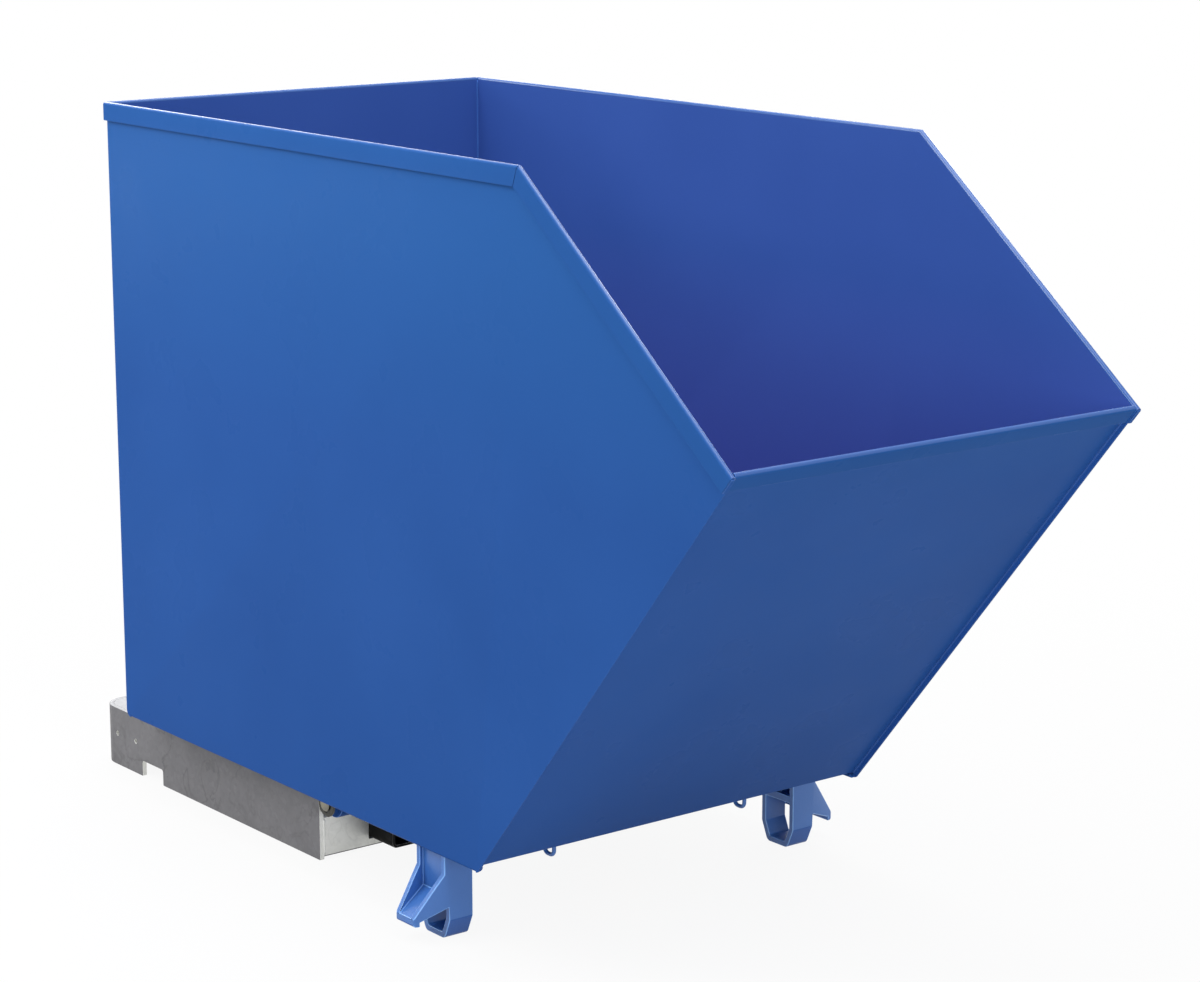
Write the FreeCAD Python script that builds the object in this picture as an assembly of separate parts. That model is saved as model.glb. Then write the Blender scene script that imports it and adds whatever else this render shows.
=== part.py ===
import FreeCAD, Part
import os
from math import acos, asin, atan2, cos, degrees, hypot, pi, radians, sin

# A tipping skip. A sheet-steel bin swings forward on two pivots at the front of a low galvanised
# chassis, which a fork truck lifts by two pockets. Cast feet carry the bin's front on the ground,
# and a hooked lever at the back locks the bin down before it is lifted.
# Millimetres. The bin pours towards -Y, +Z is up, left is -X, and the ground is at Z = 0.

# Bin shell
BIN_WIDTH = 750.0         # over the outer faces of the side panels
RIM_HEIGHT = 1183.0       # ground to the top of the rim
TOP_LENGTH = 1143.0       # back wall to the corner in the side rim
LIP_REACH = 1601.0        # back wall to the front tip of the side panels
LIP_HEIGHT = 824.0        # ground to that tip
BASE_LENGTH = 1026.0      # back wall to the front end of the side panels' bottom edge
BASE_HEIGHT = 135.0       # ground to the side panels' bottom edge
SHEET = 3.0               # thickness of all bin sheets
FLOOR_INSET = 20.0        # the side panels reach this far below the floor sheet
FRONT_INSET = 9.0         # and this far past the front sheet
FRONT_DROP = 7.5          # the front sheet's lower edge, above the side panels' bottom edge
SHEET_BEND = 13.0         # outer radius where the floor sheet folds up at the back
FLOOR_FLANGE = 25.0       # height of its folded-up end
HEM_WIDTH = 13.0          # hem folded in along the side panels' bottom edge
HEM_HEIGHT = 14.0
HEM_BEND = 6.0            # outer radius of its inner fold
HEM_SETBACK = 10.0        # its front end, behind the front lower corner of the panel
HEEL_RADIUS = 12.0        # side panel, rear lower corner
TOE_RADIUS = 8.0          # side panel, front lower corner
LIP_RADIUS = 4.0          # side panel and its rim, front tip

# Folded rim round the bin's mouth
RIM_BAND = 30.0           # depth of the turned-down band
RIM_REACH = 6.5           # the band's outer face stands this far off the sheet
RIM_BEND = 4.5            # outer radius of the folds
MITRE_GAP = 1.2           # open joint in the band at the corner of the side rim

# Chassis frame
CHASSIS_WIDTH = 630.0     # over the side plates
CHASSIS_HEIGHT = 104.0    # ground to the top of the side plates
CHASSIS_FRONT = 509.0     # ahead of the bin's back wall
CHASSIS_REAR = 201.0      # behind the bin's back wall
CHASSIS_PLATE = 8.0       # side and rear plates
REAR_CORNER = 42.0        # outer radius of the bent rear corners
NOTCH_LENGTH = 70.0       # cut in the side plates' lower edge that drops over a rim when stacked
NOTCH_HEIGHT = 28.0
NOTCH_BEHIND = 23.5       # centre of the notch, behind the back wall
NOTCH_RADIUS = 5.0
SIDE_HOLE = 9.0           # diameter of the two fixing holes in each side plate
SIDE_HOLE_PITCH = 63.5
SIDE_HOLE_BEHIND = 112.0  # middle of the two holes, behind the back wall
SIDE_HOLE_HEIGHT = 58.0
DECK_PLATE = 6.0          # top plate at the back of the chassis
DECK_FRONT = 90.0         # its front edge, ahead of the back wall

# Fork pockets, open at both ends
POCKET_SPREAD = 440.0     # over the outer faces of the two pockets
POCKET_WIDTH = 163.0
POCKET_HEIGHT = 68.0
POCKET_WALL = 5.0
POCKET_BEND = 3.0         # inner corner radius of the tube
POCKET_BASE = 18.0        # ground to the underside
POCKET_FRONT = 577.0      # front ends, ahead of the back wall
WELD_GAP = 0.5            # room round each pocket in the rear plate and the front beam

# Front beam, a channel that opens to the rear
BEAM_BASE = 4.0
BEAM_TOP = 73.0
BEAM_PLATE = 6.0
BEAM_DEPTH = 56.0
BEAM_RADIUS = 4.0         # outer radius of its two folds

# Pivot of the bin on the chassis
PIVOT_FORWARD = 528.0     # ahead of the back wall
PIVOT_HEIGHT = 101.0
PIN_DIAMETER = 20.0
RUNNING_GAP = 0.05        # radial clearance of pins in their holes
SIDE_GAP = 1.0            # clearance along the pin, each side of the lug
LUG_RADIUS = 26.0         # bin lug round the pin
LUG_WIDTH = 45.0
LUG_BASE = 90.0           # length of the lug where it meets the floor
BUSH_RADIUS = 22.0        # chassis bush round the pin
BUSH_LENGTH = 14.0
EAR_PLATE = 12.0          # plate that holds the pin's inner end
PIN_HEAD_RADIUS = 14.0
PIN_HEAD = 3.0
PIN_WASHER = 3.0
PIN_WASHER_RADIUS = 17.0
PIN_TAIL = 6.0            # pin beyond the washer
CLIP_DIAMETER = 4.0       # spring pin through the tail
CLIP_LENGTH = 30.0

# Cast feet with stacking claws
FOOT_FORWARD = 898.0      # middle of the foot, ahead of the back wall
FOOT_INNER = 319.0        # centre line of the bin to the foot's inner face
FOOT_WIDTH = 43.0
FOOT_LENGTH = 77.0
FOOT_WALL = 9.5
FOOT_SOLE = 49.0          # length of the flat that stands on the ground
FOOT_KNEE = 32.0          # height where the bevels start
CLAW_REACH = 417.0        # centre line of the bin to the claw's tip
CLAW_TIP_LENGTH = 47.0
CLAW_WALL = 9.0
CLAW_SHOULDER = 105.0     # heights on the claw's outer edge, from the top down
CLAW_KNEE = 88.0
CLAW_KNEE_OUT = 13.0      # the knee, outside the shoulder
CLAW_TIP_TOP = 41.0
CLAW_TIP_BASE = 28.5
CLAW_TIP_PLATE = 10.0     # thickness of the turned-down tip
CLAW_TIP_STEP = 7.0       # the tip's lower edge, below the claw's underside behind it
CLAW_ROOT = 6.0           # the claw's underside where it leaves the foot, below the arch
CLAW_FLOOR = 12.0         # thickness of the sloping floor between the gussets
ARCH_INNER = 77.0         # height of the foot's opening at its inner face
ARCH_OUTER = 59.0         # and at its outer face
FOOT_ROUND = 10.0         # rounding of the foot's outline
CAST_ROUND = 5.0          # rounding of its opening and of the claw's tip

# Eyes under the floor, near its front
EYE_SPREAD = 378.0        # between the middles of the two eyes
EYE_FORWARD = 955.0
EYE_LENGTH = 25.0
EYE_DROP = 50.0           # below the floor sheet
EYE_WIDTH = 8.5
EYE_WALL = 6.5

# Rest of the bin on the chassis
CHANNEL_LENGTH = 560.0    # across the bin
CHANNEL_WIDTH = 50.0
CHANNEL_FORWARD = 45.0    # its middle, ahead of the back wall
PAD_LENGTH = 90.0         # rubber pads on the deck
PAD_HEIGHT = 6.0
PAD_SPREAD = 400.0        # between the middles of the two pads
REST_GAP = 0.3            # between the channel and the pads

# Striker on the back wall
STRIKER_RADIUS = 8.0
STRIKER_BEHIND = 40.0
STRIKER_HEIGHT = 185.0
STRIKER_CLEAR = 40.0      # free bar between the two cheeks
STRIKER_CHEEK = 8.0
STRIKER_PLATE = 5.0
STRIKER_DEPTH = 52.0      # height of the bracket
STRIKER_NOSE = 16.0       # radius of the cheeks round the bar

# Latch on the deck
LATCH_BEHIND = 72.0       # pivot, behind the back wall
LATCH_HEIGHT = 137.0
LATCH_BOLT = 16.0         # diameter
LATCH_BOSS = 18.0         # radius of the hook round its bolt
HOOK_PLATE = 12.0
HOOK_ARM = 26.0           # width of the arm and lever
HOOK_CLEAR = 3.0          # jaw to striker
HOOK_DEPTH = 18.0         # nose of the hook, measured along the arm
HOOK_NOSE = 11.0          # degrees that the nose passes the striker's middle
LATCH_SWING = 45.0        # degrees from open to locked
LEVER_LENGTH = 180.0
GRIP_LENGTH = 100.0
GRIP_RADIUS = 17.0
GRIP_CAP = 20.0           # grip beyond the end of the lever
CHEEK_PLATE = 8.0
CHEEK_GAP = 0.5           # each side of the hook
CHEEK_FRONT = 24.0        # foot of the cheeks, ahead of the latch pivot
STOP_RADIUS = 5.0
STOP_BOSS = 12.0          # radius of the cheeks round the stop pin
STOP_FOOT = 15.0          # foot of the cheeks, behind the stop pin
STOP_REACH = 44.0         # stop pin, from the latch pivot
BRACKET_BASE = 6.0
BRACKET_BEHIND = 20.0     # middle of the base, behind the latch pivot
BRACKET_WIDTH = 70.0      # base plate, welded to the deck
BRACKET_LENGTH = 100.0
HEX_ACROSS = 1.7          # hexagon across flats, in bolt diameters
HEX_HEIGHT = 0.65         # head and nut height, in bolt diameters
BOLT_TAIL = 4.0           # bolt beyond its nut


def vec(x, y, z):
    return FreeCAD.Vector(x, y, z)


def box(x0, x1, y0, y1, z0, z1):
    return Part.makeBox(x1 - x0, y1 - y0, z1 - z0, vec(x0, y0, z0))


def prism_x(points, x0, x1):
    """A closed outline of (y, z) points, from x0 to x1."""
    wire = Part.makePolygon([vec(x0, y, z) for y, z in points + points[:1]])
    return Part.Face(wire).extrude(vec(x1 - x0, 0, 0))


def prism_y(points, y0, y1):
    """A closed outline of (x, z) points, from y0 to y1."""
    wire = Part.makePolygon([vec(x, y0, z) for x, z in points + points[:1]])
    return Part.Face(wire).extrude(vec(0, y1 - y0, 0))


def prism_z(points, z0, z1):
    """A closed outline of (x, y) points, from z0 to z1."""
    wire = Part.makePolygon([vec(x, y, z0) for x, y in points + points[:1]])
    return Part.Face(wire).extrude(vec(0, 0, z1 - z0))


def rod(y, z, radius, x0, x1):
    """A round bar along X."""
    return Part.makeCylinder(radius, x1 - x0, vec(x0, y, z), vec(1, 0, 0))


def mirrored(shape):
    return shape.mirror(vec(0, 0, 0), vec(1, 0, 0))


def rounded(shape, radius, *corners, along="x"):
    """Fillet the edges along an axis that pass through the given corners, as (y, z), (x, z) or (x, y)."""
    across = [axis for axis in "xyz" if axis != along]
    edges = []
    for edge in shape.Edges:
        ends = [[getattr(vertex.Point, axis) for axis in across] for vertex in edge.Vertexes]
        for corner in corners:
            if all(hypot(end[0] - corner[0], end[1] - corner[1]) < 1e-4 for end in ends):
                edges.append(edge)
    return shape.makeFillet(radius, edges)


def moved_line(a, b, distance):
    """The line a-b moved sideways, to the left of its direction."""
    length = hypot(b[0] - a[0], b[1] - a[1])
    side = (-(b[1] - a[1]) / length * distance, (b[0] - a[0]) / length * distance)
    return (a[0] + side[0], a[1] + side[1]), (b[0] + side[0], b[1] + side[1])


def crossing(first, second):
    """The point where two lines meet."""
    (ay, az), (by, bz) = first
    (cy, cz), (dy, dz) = second
    turn = (by - ay) * (dz - cz) - (bz - az) * (dy - cy)
    share = ((cy - ay) * (dz - cz) - (cz - az) * (dy - cy)) / turn
    return ay + (by - ay) * share, az + (bz - az) * share


def inset(points, *distances):
    """The outline with each edge moved to the left of its direction by its own distance."""
    count = len(points)
    lines = [moved_line(points[i], points[(i + 1) % count], distances[i]) for i in range(count)]
    return [crossing(lines[i - 1], lines[i]) for i in range(count)]


def tangent_point(corner, centre, radius, side):
    """Where a line from the corner touches a circle; side is +1 or -1."""
    dy, dz = corner[0] - centre[0], corner[1] - centre[1]
    angle = atan2(dz, dy) + side * acos(radius / hypot(dy, dz))
    return centre[0] + radius * cos(angle), centre[1] + radius * sin(angle)


def teardrop(first, second, centre, radius, x0, x1):
    """A plate whose straight foot runs by tangents to a round end.

    Seen from the round end, towards the foot and with +Y right of +Z up, first is on the right.
    """
    start = tangent_point(second, centre, radius, 1)
    end = tangent_point(first, centre, radius, -1)
    web = prism_x([first, second, start, centre, end], x0, x1)
    return web.fuse(rod(*centre, radius, x0, x1)).removeSplitter()


def hexagon(z, bolt, height):
    """A hexagonal head or nut on the Z axis."""
    reach = HEX_ACROSS * bolt / 2 / cos(pi / 6)
    points = [(reach * cos(k * pi / 3), reach * sin(k * pi / 3)) for k in range(6)]
    return prism_z(points, z, z + height)


def both_sides(right):
    return Part.makeCompound([right, mirrored(right)])


def save(name, shape):
    shape.exportStep("parts/" + name + ".step")


def save_pair(name, right):
    save(name + "_right", right)
    save(name + "_left", mirrored(right))


# Places that follow from the sizes. The origin is on the ground, midway between the rounded tip
# of the side panels and the rear plate of the chassis.
FRONT_LINE = ((BASE_LENGTH, BASE_HEIGHT), (LIP_REACH, LIP_HEIGHT))
SLOPE_LINE = ((LIP_REACH, LIP_HEIGHT), (TOP_LENGTH, RIM_HEIGHT))
TIP_CENTRE = crossing(moved_line(*FRONT_LINE, LIP_RADIUS), moved_line(*SLOPE_LINE, LIP_RADIUS))
TIP_ARM = hypot(LIP_REACH - TIP_CENTRE[0], LIP_HEIGHT - TIP_CENTRE[1])
TIP_RUN = (TIP_ARM ** 2 - LIP_RADIUS ** 2) ** 0.5
BACK_Y = (TIP_CENTRE[0] + LIP_RADIUS - CHASSIS_REAR) / 2
HALF = BIN_WIDTH / 2
INSIDE = HALF - SHEET
FLOOR_UNDER = BASE_HEIGHT + FLOOR_INSET
PLATE_X = CHASSIS_WIDTH / 2
PIVOT_Y = BACK_Y - PIVOT_FORWARD
PIN_RADIUS = PIN_DIAMETER / 2
BUSH_X = PLATE_X - BUSH_LENGTH
LUG_X = BUSH_X - SIDE_GAP
EAR_X = LUG_X - LUG_WIDTH - SIDE_GAP
POCKET_X = POCKET_SPREAD / 2
REAR_Y = BACK_Y + CHASSIS_REAR
BEAM_Y = BACK_Y - CHASSIS_FRONT
LATCH_Y = BACK_Y + LATCH_BEHIND
BRACKET_Y = LATCH_Y + BRACKET_BEHIND
STRIKER_Y = BACK_Y + STRIKER_BEHIND

# Corners of a side panel, as (y, z), clockwise as the right-hand panel is seen from outside
HEEL = (BACK_Y, BASE_HEIGHT)
TOE = (BACK_Y - BASE_LENGTH, BASE_HEIGHT)
TIP = (BACK_Y - LIP_REACH, LIP_HEIGHT)
BROW = (BACK_Y - TOP_LENGTH, RIM_HEIGHT)
CROWN = (BACK_Y, RIM_HEIGHT)

# Outer face of the back, floor and front sheets, which lie inside the edges of the side panels
SHELL_HEEL, SHELL_TOE, SHELL_TIP, _, _ = inset(
    [HEEL, TOE, TIP, BROW, CROWN], -FLOOR_INSET, -FRONT_INSET, 0, 0, 0)
FRONT_FOOT = crossing((SHELL_TOE, SHELL_TIP), moved_line(HEEL, TOE, -FRONT_DROP))
HEEL_SEAM = (BACK_Y, FLOOR_UNDER + FLOOR_FLANGE)


def rim_run(start, end, hollow):
    """Straight length of folded rim on the right-hand side sheet, hollow or filled as an end cap."""
    along = (end[0] - start[0], end[1] - start[1])
    length = hypot(*along)
    inward = (-along[1] / length, along[0] / length)
    band = HALF + RIM_REACH
    outline = [(INSIDE, 0), (band, 0), (band, RIM_BAND)]
    if hollow:
        outline += [(band - SHEET, RIM_BAND), (band - SHEET, SHEET), (HALF, SHEET), (HALF, RIM_BAND)]
    outline.append((INSIDE, RIM_BAND))
    corners = [vec(x, start[0] + inward[0] * d, start[1] + inward[1] * d) for x, d in outline]
    run = Part.Face(Part.makePolygon(corners + corners[:1])).extrude(vec(0, *along))
    folds = [edge for edge in run.Edges if abs(edge.Length - length) < 1e-4
             and min(edge.distToShape(Part.Vertex(corner))[0] for corner in corners[:2]) < 1e-4]
    return run.makeFillet(RIM_BEND, folds)


def hem():
    """Bottom edge of the right-hand side sheet, folded in and up."""
    x0 = HALF - HEM_WIDTH
    z0, z1 = BASE_HEIGHT, BASE_HEIGHT + HEM_HEIGHT
    outline = [(INSIDE, z0), (x0, z0), (x0, z1), (x0 + SHEET, z1), (x0 + SHEET, z0 + SHEET),
               (INSIDE, z0 + SHEET)]
    fold = prism_y(outline, TOE[0] + HEM_SETBACK, HEEL[0] - HEEL_RADIUS)
    return rounded(fold, HEM_BEND, (x0, z0), along="y")


def side_panel():
    """Right-hand side sheet, with its top edges folded out and down into a mitred band."""
    outline = [HEEL, TOE, TIP, BROW, CROWN]
    sheet = prism_x(inset(outline, 0, 0, -RIM_BAND, -RIM_BAND, 0), INSIDE, HALF)
    sheet = rounded(rounded(sheet, HEEL_RADIUS, HEEL), TOE_RADIUS, TOE)

    slope = hypot(TIP[0] - BROW[0], TIP[1] - BROW[1])
    fall = ((TIP[0] - BROW[0]) / slope, (TIP[1] - BROW[1]) / slope)

    def on_slope(reach):
        return BROW[0] + fall[0] * reach, BROW[1] + fall[1] * reach

    level = rim_run(CROWN, (BROW[0] - RIM_BAND, RIM_HEIGHT), True)
    level = level.fuse(rim_run(CROWN, (CROWN[0] - SHEET, RIM_HEIGHT), False))
    sloped = rim_run(on_slope(-RIM_BAND), on_slope(slope + RIM_BAND), True)
    sloped = sloped.fuse(rim_run(on_slope(slope - TIP_RUN), on_slope(slope + RIM_BAND), False))

    inner = crossing(moved_line(BROW, TIP, RIM_BAND), moved_line(CROWN, BROW, RIM_BAND))
    low = (2 * inner[0] - BROW[0], 2 * inner[1] - BROW[1])
    high = (2 * BROW[0] - inner[0], 2 * BROW[1] - inner[1])
    behind = [high, low, (CROWN[0], low[1]), (CROWN[0], high[1])]
    ahead = rounded(prism_x([low, BROW, TIP, TOE], 0, BIN_WIDTH), LIP_RADIUS, TIP)
    panel = sheet.fuse([level.common(prism_x(behind, 0, BIN_WIDTH)), sloped.common(ahead), hem()])

    joint = moved_line(high, low, MITRE_GAP / 2) + moved_line(low, high, MITRE_GAP / 2)
    slot = prism_x(list(joint), HALF + RIM_REACH - SHEET, HALF + 2 * RIM_REACH)
    return panel.removeSplitter().cut(slot)


def rimmed_sheet(top, base, outward):
    """Flat sheet between two points of its outer face, with its top edge folded into the rim."""
    length = hypot(base[0] - top[0], base[1] - top[1])
    down = ((base[0] - top[0]) / length, (base[1] - top[1]) / length)
    out = (-down[1] * outward, down[0] * outward)

    def at(reach, depth):
        return top[0] + out[0] * reach + down[0] * depth, top[1] + out[1] * reach + down[1] * depth

    inner = RIM_REACH - SHEET
    outline = [at(-SHEET, 0), at(RIM_REACH, 0), at(RIM_REACH, RIM_BAND), at(inner, RIM_BAND),
               at(inner, SHEET), at(0, SHEET), at(0, length), at(-SHEET, length)]
    return rounded(prism_x(outline, -INSIDE, INSIDE), RIM_BEND, outline[0], outline[1])


def back_panel():
    return rimmed_sheet(CROWN, HEEL_SEAM, 1)


def front_panel():
    return rimmed_sheet(SHELL_TIP, FRONT_FOOT, -1)


def floor_panel():
    """Floor sheet, folded up to meet the back sheet and welded to the inside of the front sheet."""
    front = moved_line(SHELL_TOE, SHELL_TIP, -SHEET)
    under = (SHELL_HEEL, SHELL_TOE)
    upper = moved_line(*under, -SHEET)
    wall = moved_line(HEEL_SEAM, SHELL_HEEL, -SHEET)
    fold = crossing(wall, upper)
    outline = [HEEL_SEAM, SHELL_HEEL, crossing(under, front), crossing(upper, front), fold, wall[0]]
    sheet = rounded(prism_x(outline, -INSIDE, INSIDE), SHEET_BEND, SHELL_HEEL)
    return rounded(sheet, SHEET_BEND - SHEET, fold)


def pivot_lug():
    """Rounded lug under the floor that turns on the pivot pin."""
    rear = (PIVOT_Y + LUG_BASE / 2, FLOOR_UNDER)
    front = (PIVOT_Y - LUG_BASE / 2, FLOOR_UNDER)
    lug = teardrop(rear, front, (PIVOT_Y, PIVOT_HEIGHT), LUG_RADIUS, LUG_X - LUG_WIDTH, LUG_X)
    return lug.cut(rod(PIVOT_Y, PIVOT_HEIGHT, PIN_RADIUS + RUNNING_GAP, LUG_X - LUG_WIDTH, LUG_X))


def foot():
    """Cast foot: a loop that stands on the ground, and a claw that hooks over a rim when stacked."""
    middle = BACK_Y - FOOT_FORWARD
    outer = FOOT_INNER + FOOT_WIDTH
    half, sole, tip = FOOT_LENGTH / 2, FOOT_SOLE / 2, CLAW_TIP_LENGTH / 2
    loop = [(middle + half, FLOOR_UNDER), (middle + half, FOOT_KNEE), (middle + sole, 0),
            (middle - sole, 0), (middle - half, FOOT_KNEE), (middle - half, FLOOR_UNDER)]
    walls = [-FOOT_WALL] * 5 + [0]
    hollow = inset(loop, *walls)
    slope = (ARCH_OUTER - ARCH_INNER) / FOOT_WIDTH
    web = outer - FOOT_WALL
    shoulder = INSIDE - SHEET

    def arch(x):
        return ARCH_INNER + slope * (x - FOOT_INNER)

    def cavity(x0, x1, region):
        block = rounded(prism_x(hollow, x0, x1), CAST_ROUND, *hollow[1:5])
        return block.common(prism_y(region, middle - half, middle + half))

    body = rounded(prism_x(loop, FOOT_INNER, outer), FOOT_ROUND, *loop[1:5])
    below = [(FOOT_INNER, 0), (outer, 0), (outer, ARCH_OUTER), (FOOT_INNER, ARCH_INNER)]
    above = [(FOOT_INNER, ARCH_INNER + CLAW_FLOOR), (web, arch(web) + CLAW_FLOOR),
             (web, FLOOR_UNDER), (FOOT_INNER, FLOOR_UNDER)]
    for region in (below, above):
        body = body.cut(cavity(FOOT_INNER, outer, region))

    edge = [(web, FLOOR_UNDER), (outer, FLOOR_UNDER), (outer, BASE_HEIGHT),
            (shoulder, BASE_HEIGHT), (shoulder, CLAW_SHOULDER),
            (shoulder + CLAW_KNEE_OUT, CLAW_KNEE), (CLAW_REACH, CLAW_TIP_TOP), (CLAW_REACH, CLAW_TIP_BASE),
            (CLAW_REACH - CLAW_TIP_PLATE, CLAW_TIP_BASE),
            (CLAW_REACH - CLAW_TIP_PLATE, CLAW_TIP_BASE + CLAW_TIP_STEP),
            (outer, ARCH_OUTER - CLAW_ROOT), (web, ARCH_OUTER - CLAW_ROOT)]
    plan = [(web, middle - half), (outer, middle - half), (CLAW_REACH, middle - tip),
            (CLAW_REACH, middle + tip), (outer, middle + half), (web, middle + half)]
    claw = rounded(prism_y(edge, middle - half, middle + half), CAST_ROUND,
                   (CLAW_REACH, CLAW_TIP_TOP), (CLAW_REACH, CLAW_TIP_BASE), along="y")
    claw = claw.common(rounded(prism_z(plan, 0, FLOOR_UNDER), CAST_ROUND, plan[2], plan[3], along="z"))
    trough_plan = [(outer, middle - half + CLAW_WALL), (CLAW_REACH, middle - tip + CLAW_WALL),
                   (CLAW_REACH, middle + tip - CLAW_WALL), (outer, middle + half - CLAW_WALL)]
    trough_edge = [(outer, arch(outer) + CLAW_FLOOR), (CLAW_REACH, CLAW_TIP_TOP),
                   (CLAW_REACH, FLOOR_UNDER), (outer, FLOOR_UNDER)]
    trough = prism_z(trough_plan, 0, FLOOR_UNDER).common(prism_y(trough_edge, middle - half, middle + half))
    claw = claw.cut(trough)
    return body.fuse(claw.cut(cavity(web, outer, below))).removeSplitter()


def floor_eye():
    """U-shaped strap under the floor."""
    x0 = EYE_SPREAD / 2 - EYE_WIDTH / 2
    middle = BACK_Y - EYE_FORWARD
    low = FLOOR_UNDER - EYE_DROP
    outer = EYE_LENGTH / 2
    inner = outer - EYE_WALL
    centre = low + outer
    strap = box(x0, x0 + EYE_WIDTH, middle - outer, middle + outer, centre, FLOOR_UNDER)
    strap = strap.fuse(rod(middle, centre, outer, x0, x0 + EYE_WIDTH))
    strap = strap.cut(box(x0, x0 + EYE_WIDTH, middle - inner, middle + inner, centre, FLOOR_UNDER))
    return strap.cut(rod(middle, centre, inner, x0, x0 + EYE_WIDTH)).removeSplitter()


def rest_channel():
    """Channel under the rear of the floor that comes to rest on the pads of the chassis."""
    y0 = BACK_Y - CHANNEL_FORWARD - CHANNEL_WIDTH / 2
    y1 = y0 + CHANNEL_WIDTH
    base = CHASSIS_HEIGHT + PAD_HEIGHT + REST_GAP
    x = CHANNEL_LENGTH / 2
    channel = box(-x, x, y0, y1, base, FLOOR_UNDER)
    channel = channel.cut(box(-x, x, y0 + SHEET, y1 - SHEET, base + SHEET, FLOOR_UNDER))
    return rounded(channel, SHEET, (y0, base), (y1, base))


def rest_pad():
    y0 = BACK_Y - CHANNEL_FORWARD - CHANNEL_WIDTH / 2
    x0 = PAD_SPREAD / 2 - PAD_LENGTH / 2
    return box(x0, x0 + PAD_LENGTH, y0, y0 + CHANNEL_WIDTH, CHASSIS_HEIGHT, CHASSIS_HEIGHT + PAD_HEIGHT)


def striker_bracket():
    """Base plate on the back wall with two cheeks that hold the striker bar."""
    inner = STRIKER_CLEAR / 2
    outer = inner + STRIKER_CHEEK
    z0 = STRIKER_HEIGHT - STRIKER_DEPTH / 2
    z1 = z0 + STRIKER_DEPTH
    bracket = box(-outer, outer, BACK_Y, BACK_Y + STRIKER_PLATE, z0, z1)
    for x0, x1 in ((-outer, -inner), (inner, outer)):
        cheek = teardrop((BACK_Y, z1), (BACK_Y, z0), (STRIKER_Y, STRIKER_HEIGHT), STRIKER_NOSE, x0, x1)
        bracket = bracket.fuse(cheek)
    return bracket.cut(rod(STRIKER_Y, STRIKER_HEIGHT, STRIKER_RADIUS, -outer, outer)).removeSplitter()


def striker_bar():
    reach = STRIKER_CLEAR / 2 + STRIKER_CHEEK
    return rod(STRIKER_Y, STRIKER_HEIGHT, STRIKER_RADIUS, -reach, reach)


def chassis_side():
    """Right-hand side plate with the stacking notch, fixing holes and the seat of the pivot bush."""
    x0 = PLATE_X - CHASSIS_PLATE
    notch_y = BACK_Y + NOTCH_BEHIND
    y0, y1 = notch_y - NOTCH_LENGTH / 2, notch_y + NOTCH_LENGTH / 2
    plate = box(x0, PLATE_X, BEAM_Y, REAR_Y - REAR_CORNER, 0, CHASSIS_HEIGHT)
    notch = box(x0, PLATE_X, y0, y1, 0, NOTCH_HEIGHT)
    plate = plate.cut(rounded(notch, NOTCH_RADIUS, (y0, NOTCH_HEIGHT), (y1, NOTCH_HEIGHT)))
    for side in (-1, 1):
        y = BACK_Y + SIDE_HOLE_BEHIND + side * SIDE_HOLE_PITCH / 2
        plate = plate.cut(rod(y, SIDE_HOLE_HEIGHT, SIDE_HOLE / 2, x0, PLATE_X))
    return plate.cut(rod(PIVOT_Y, PIVOT_HEIGHT, BUSH_RADIUS, x0, PLATE_X))


def plan_block(x, radius, y0, y1, z0, z1):
    """Block across the chassis with its two rear corners rounded in plan."""
    block = box(-x, x, y0 - 2 * radius, y1, z0, z1)
    edges = [edge for edge in block.Edges
             if edge.Length == z1 - z0 and all(abs(v.Point.y - y1) < 1e-4 for v in edge.Vertexes)]
    block = block.makeFillet(radius, edges)
    return block.cut(box(-x, x, y0 - 2 * radius, y0, z0, z1))


def pocket_gaps():
    """Room across the chassis for the left and the right fork pocket, as (x0, x1)."""
    inner, outer = POCKET_X - POCKET_WIDTH - WELD_GAP, POCKET_X + WELD_GAP
    return (-outer, -inner), (inner, outer)


def chassis_rear_plate():
    """Rear plate, bent forward round both corners, with an opening for each fork pocket."""
    y0 = REAR_Y - REAR_CORNER
    plate = plan_block(PLATE_X, REAR_CORNER, y0, REAR_Y, 0, CHASSIS_HEIGHT)
    inner = PLATE_X - CHASSIS_PLATE
    plate = plate.cut(plan_block(inner, REAR_CORNER - CHASSIS_PLATE, y0, REAR_Y - CHASSIS_PLATE,
                                 0, CHASSIS_HEIGHT))
    for x0, x1 in pocket_gaps():
        plate = plate.cut(box(x0, x1, y0, REAR_Y, POCKET_BASE - WELD_GAP,
                              POCKET_BASE + POCKET_HEIGHT + WELD_GAP))
    return plate


def chassis_deck():
    """Top plate between the side plates at the back."""
    return plan_block(PLATE_X - CHASSIS_PLATE, REAR_CORNER - CHASSIS_PLATE, BACK_Y - DECK_FRONT,
                      REAR_Y - CHASSIS_PLATE, CHASSIS_HEIGHT - DECK_PLATE, CHASSIS_HEIGHT)


def fork_pocket():
    """Right-hand rectangular tube, open at both ends."""
    x1 = POCKET_X
    x0 = x1 - POCKET_WIDTH
    y0 = BACK_Y - POCKET_FRONT
    z1 = POCKET_BASE + POCKET_HEIGHT

    def tube(wall, radius):
        block = box(x0 + wall, x1 - wall, y0, REAR_Y, POCKET_BASE + wall, z1 - wall)
        long_edges = [edge for edge in block.Edges if abs(edge.Length - (REAR_Y - y0)) < 1e-4]
        return block.makeFillet(radius, long_edges)

    return tube(0, POCKET_BEND + POCKET_WALL).cut(tube(POCKET_WALL, POCKET_BEND))


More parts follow.
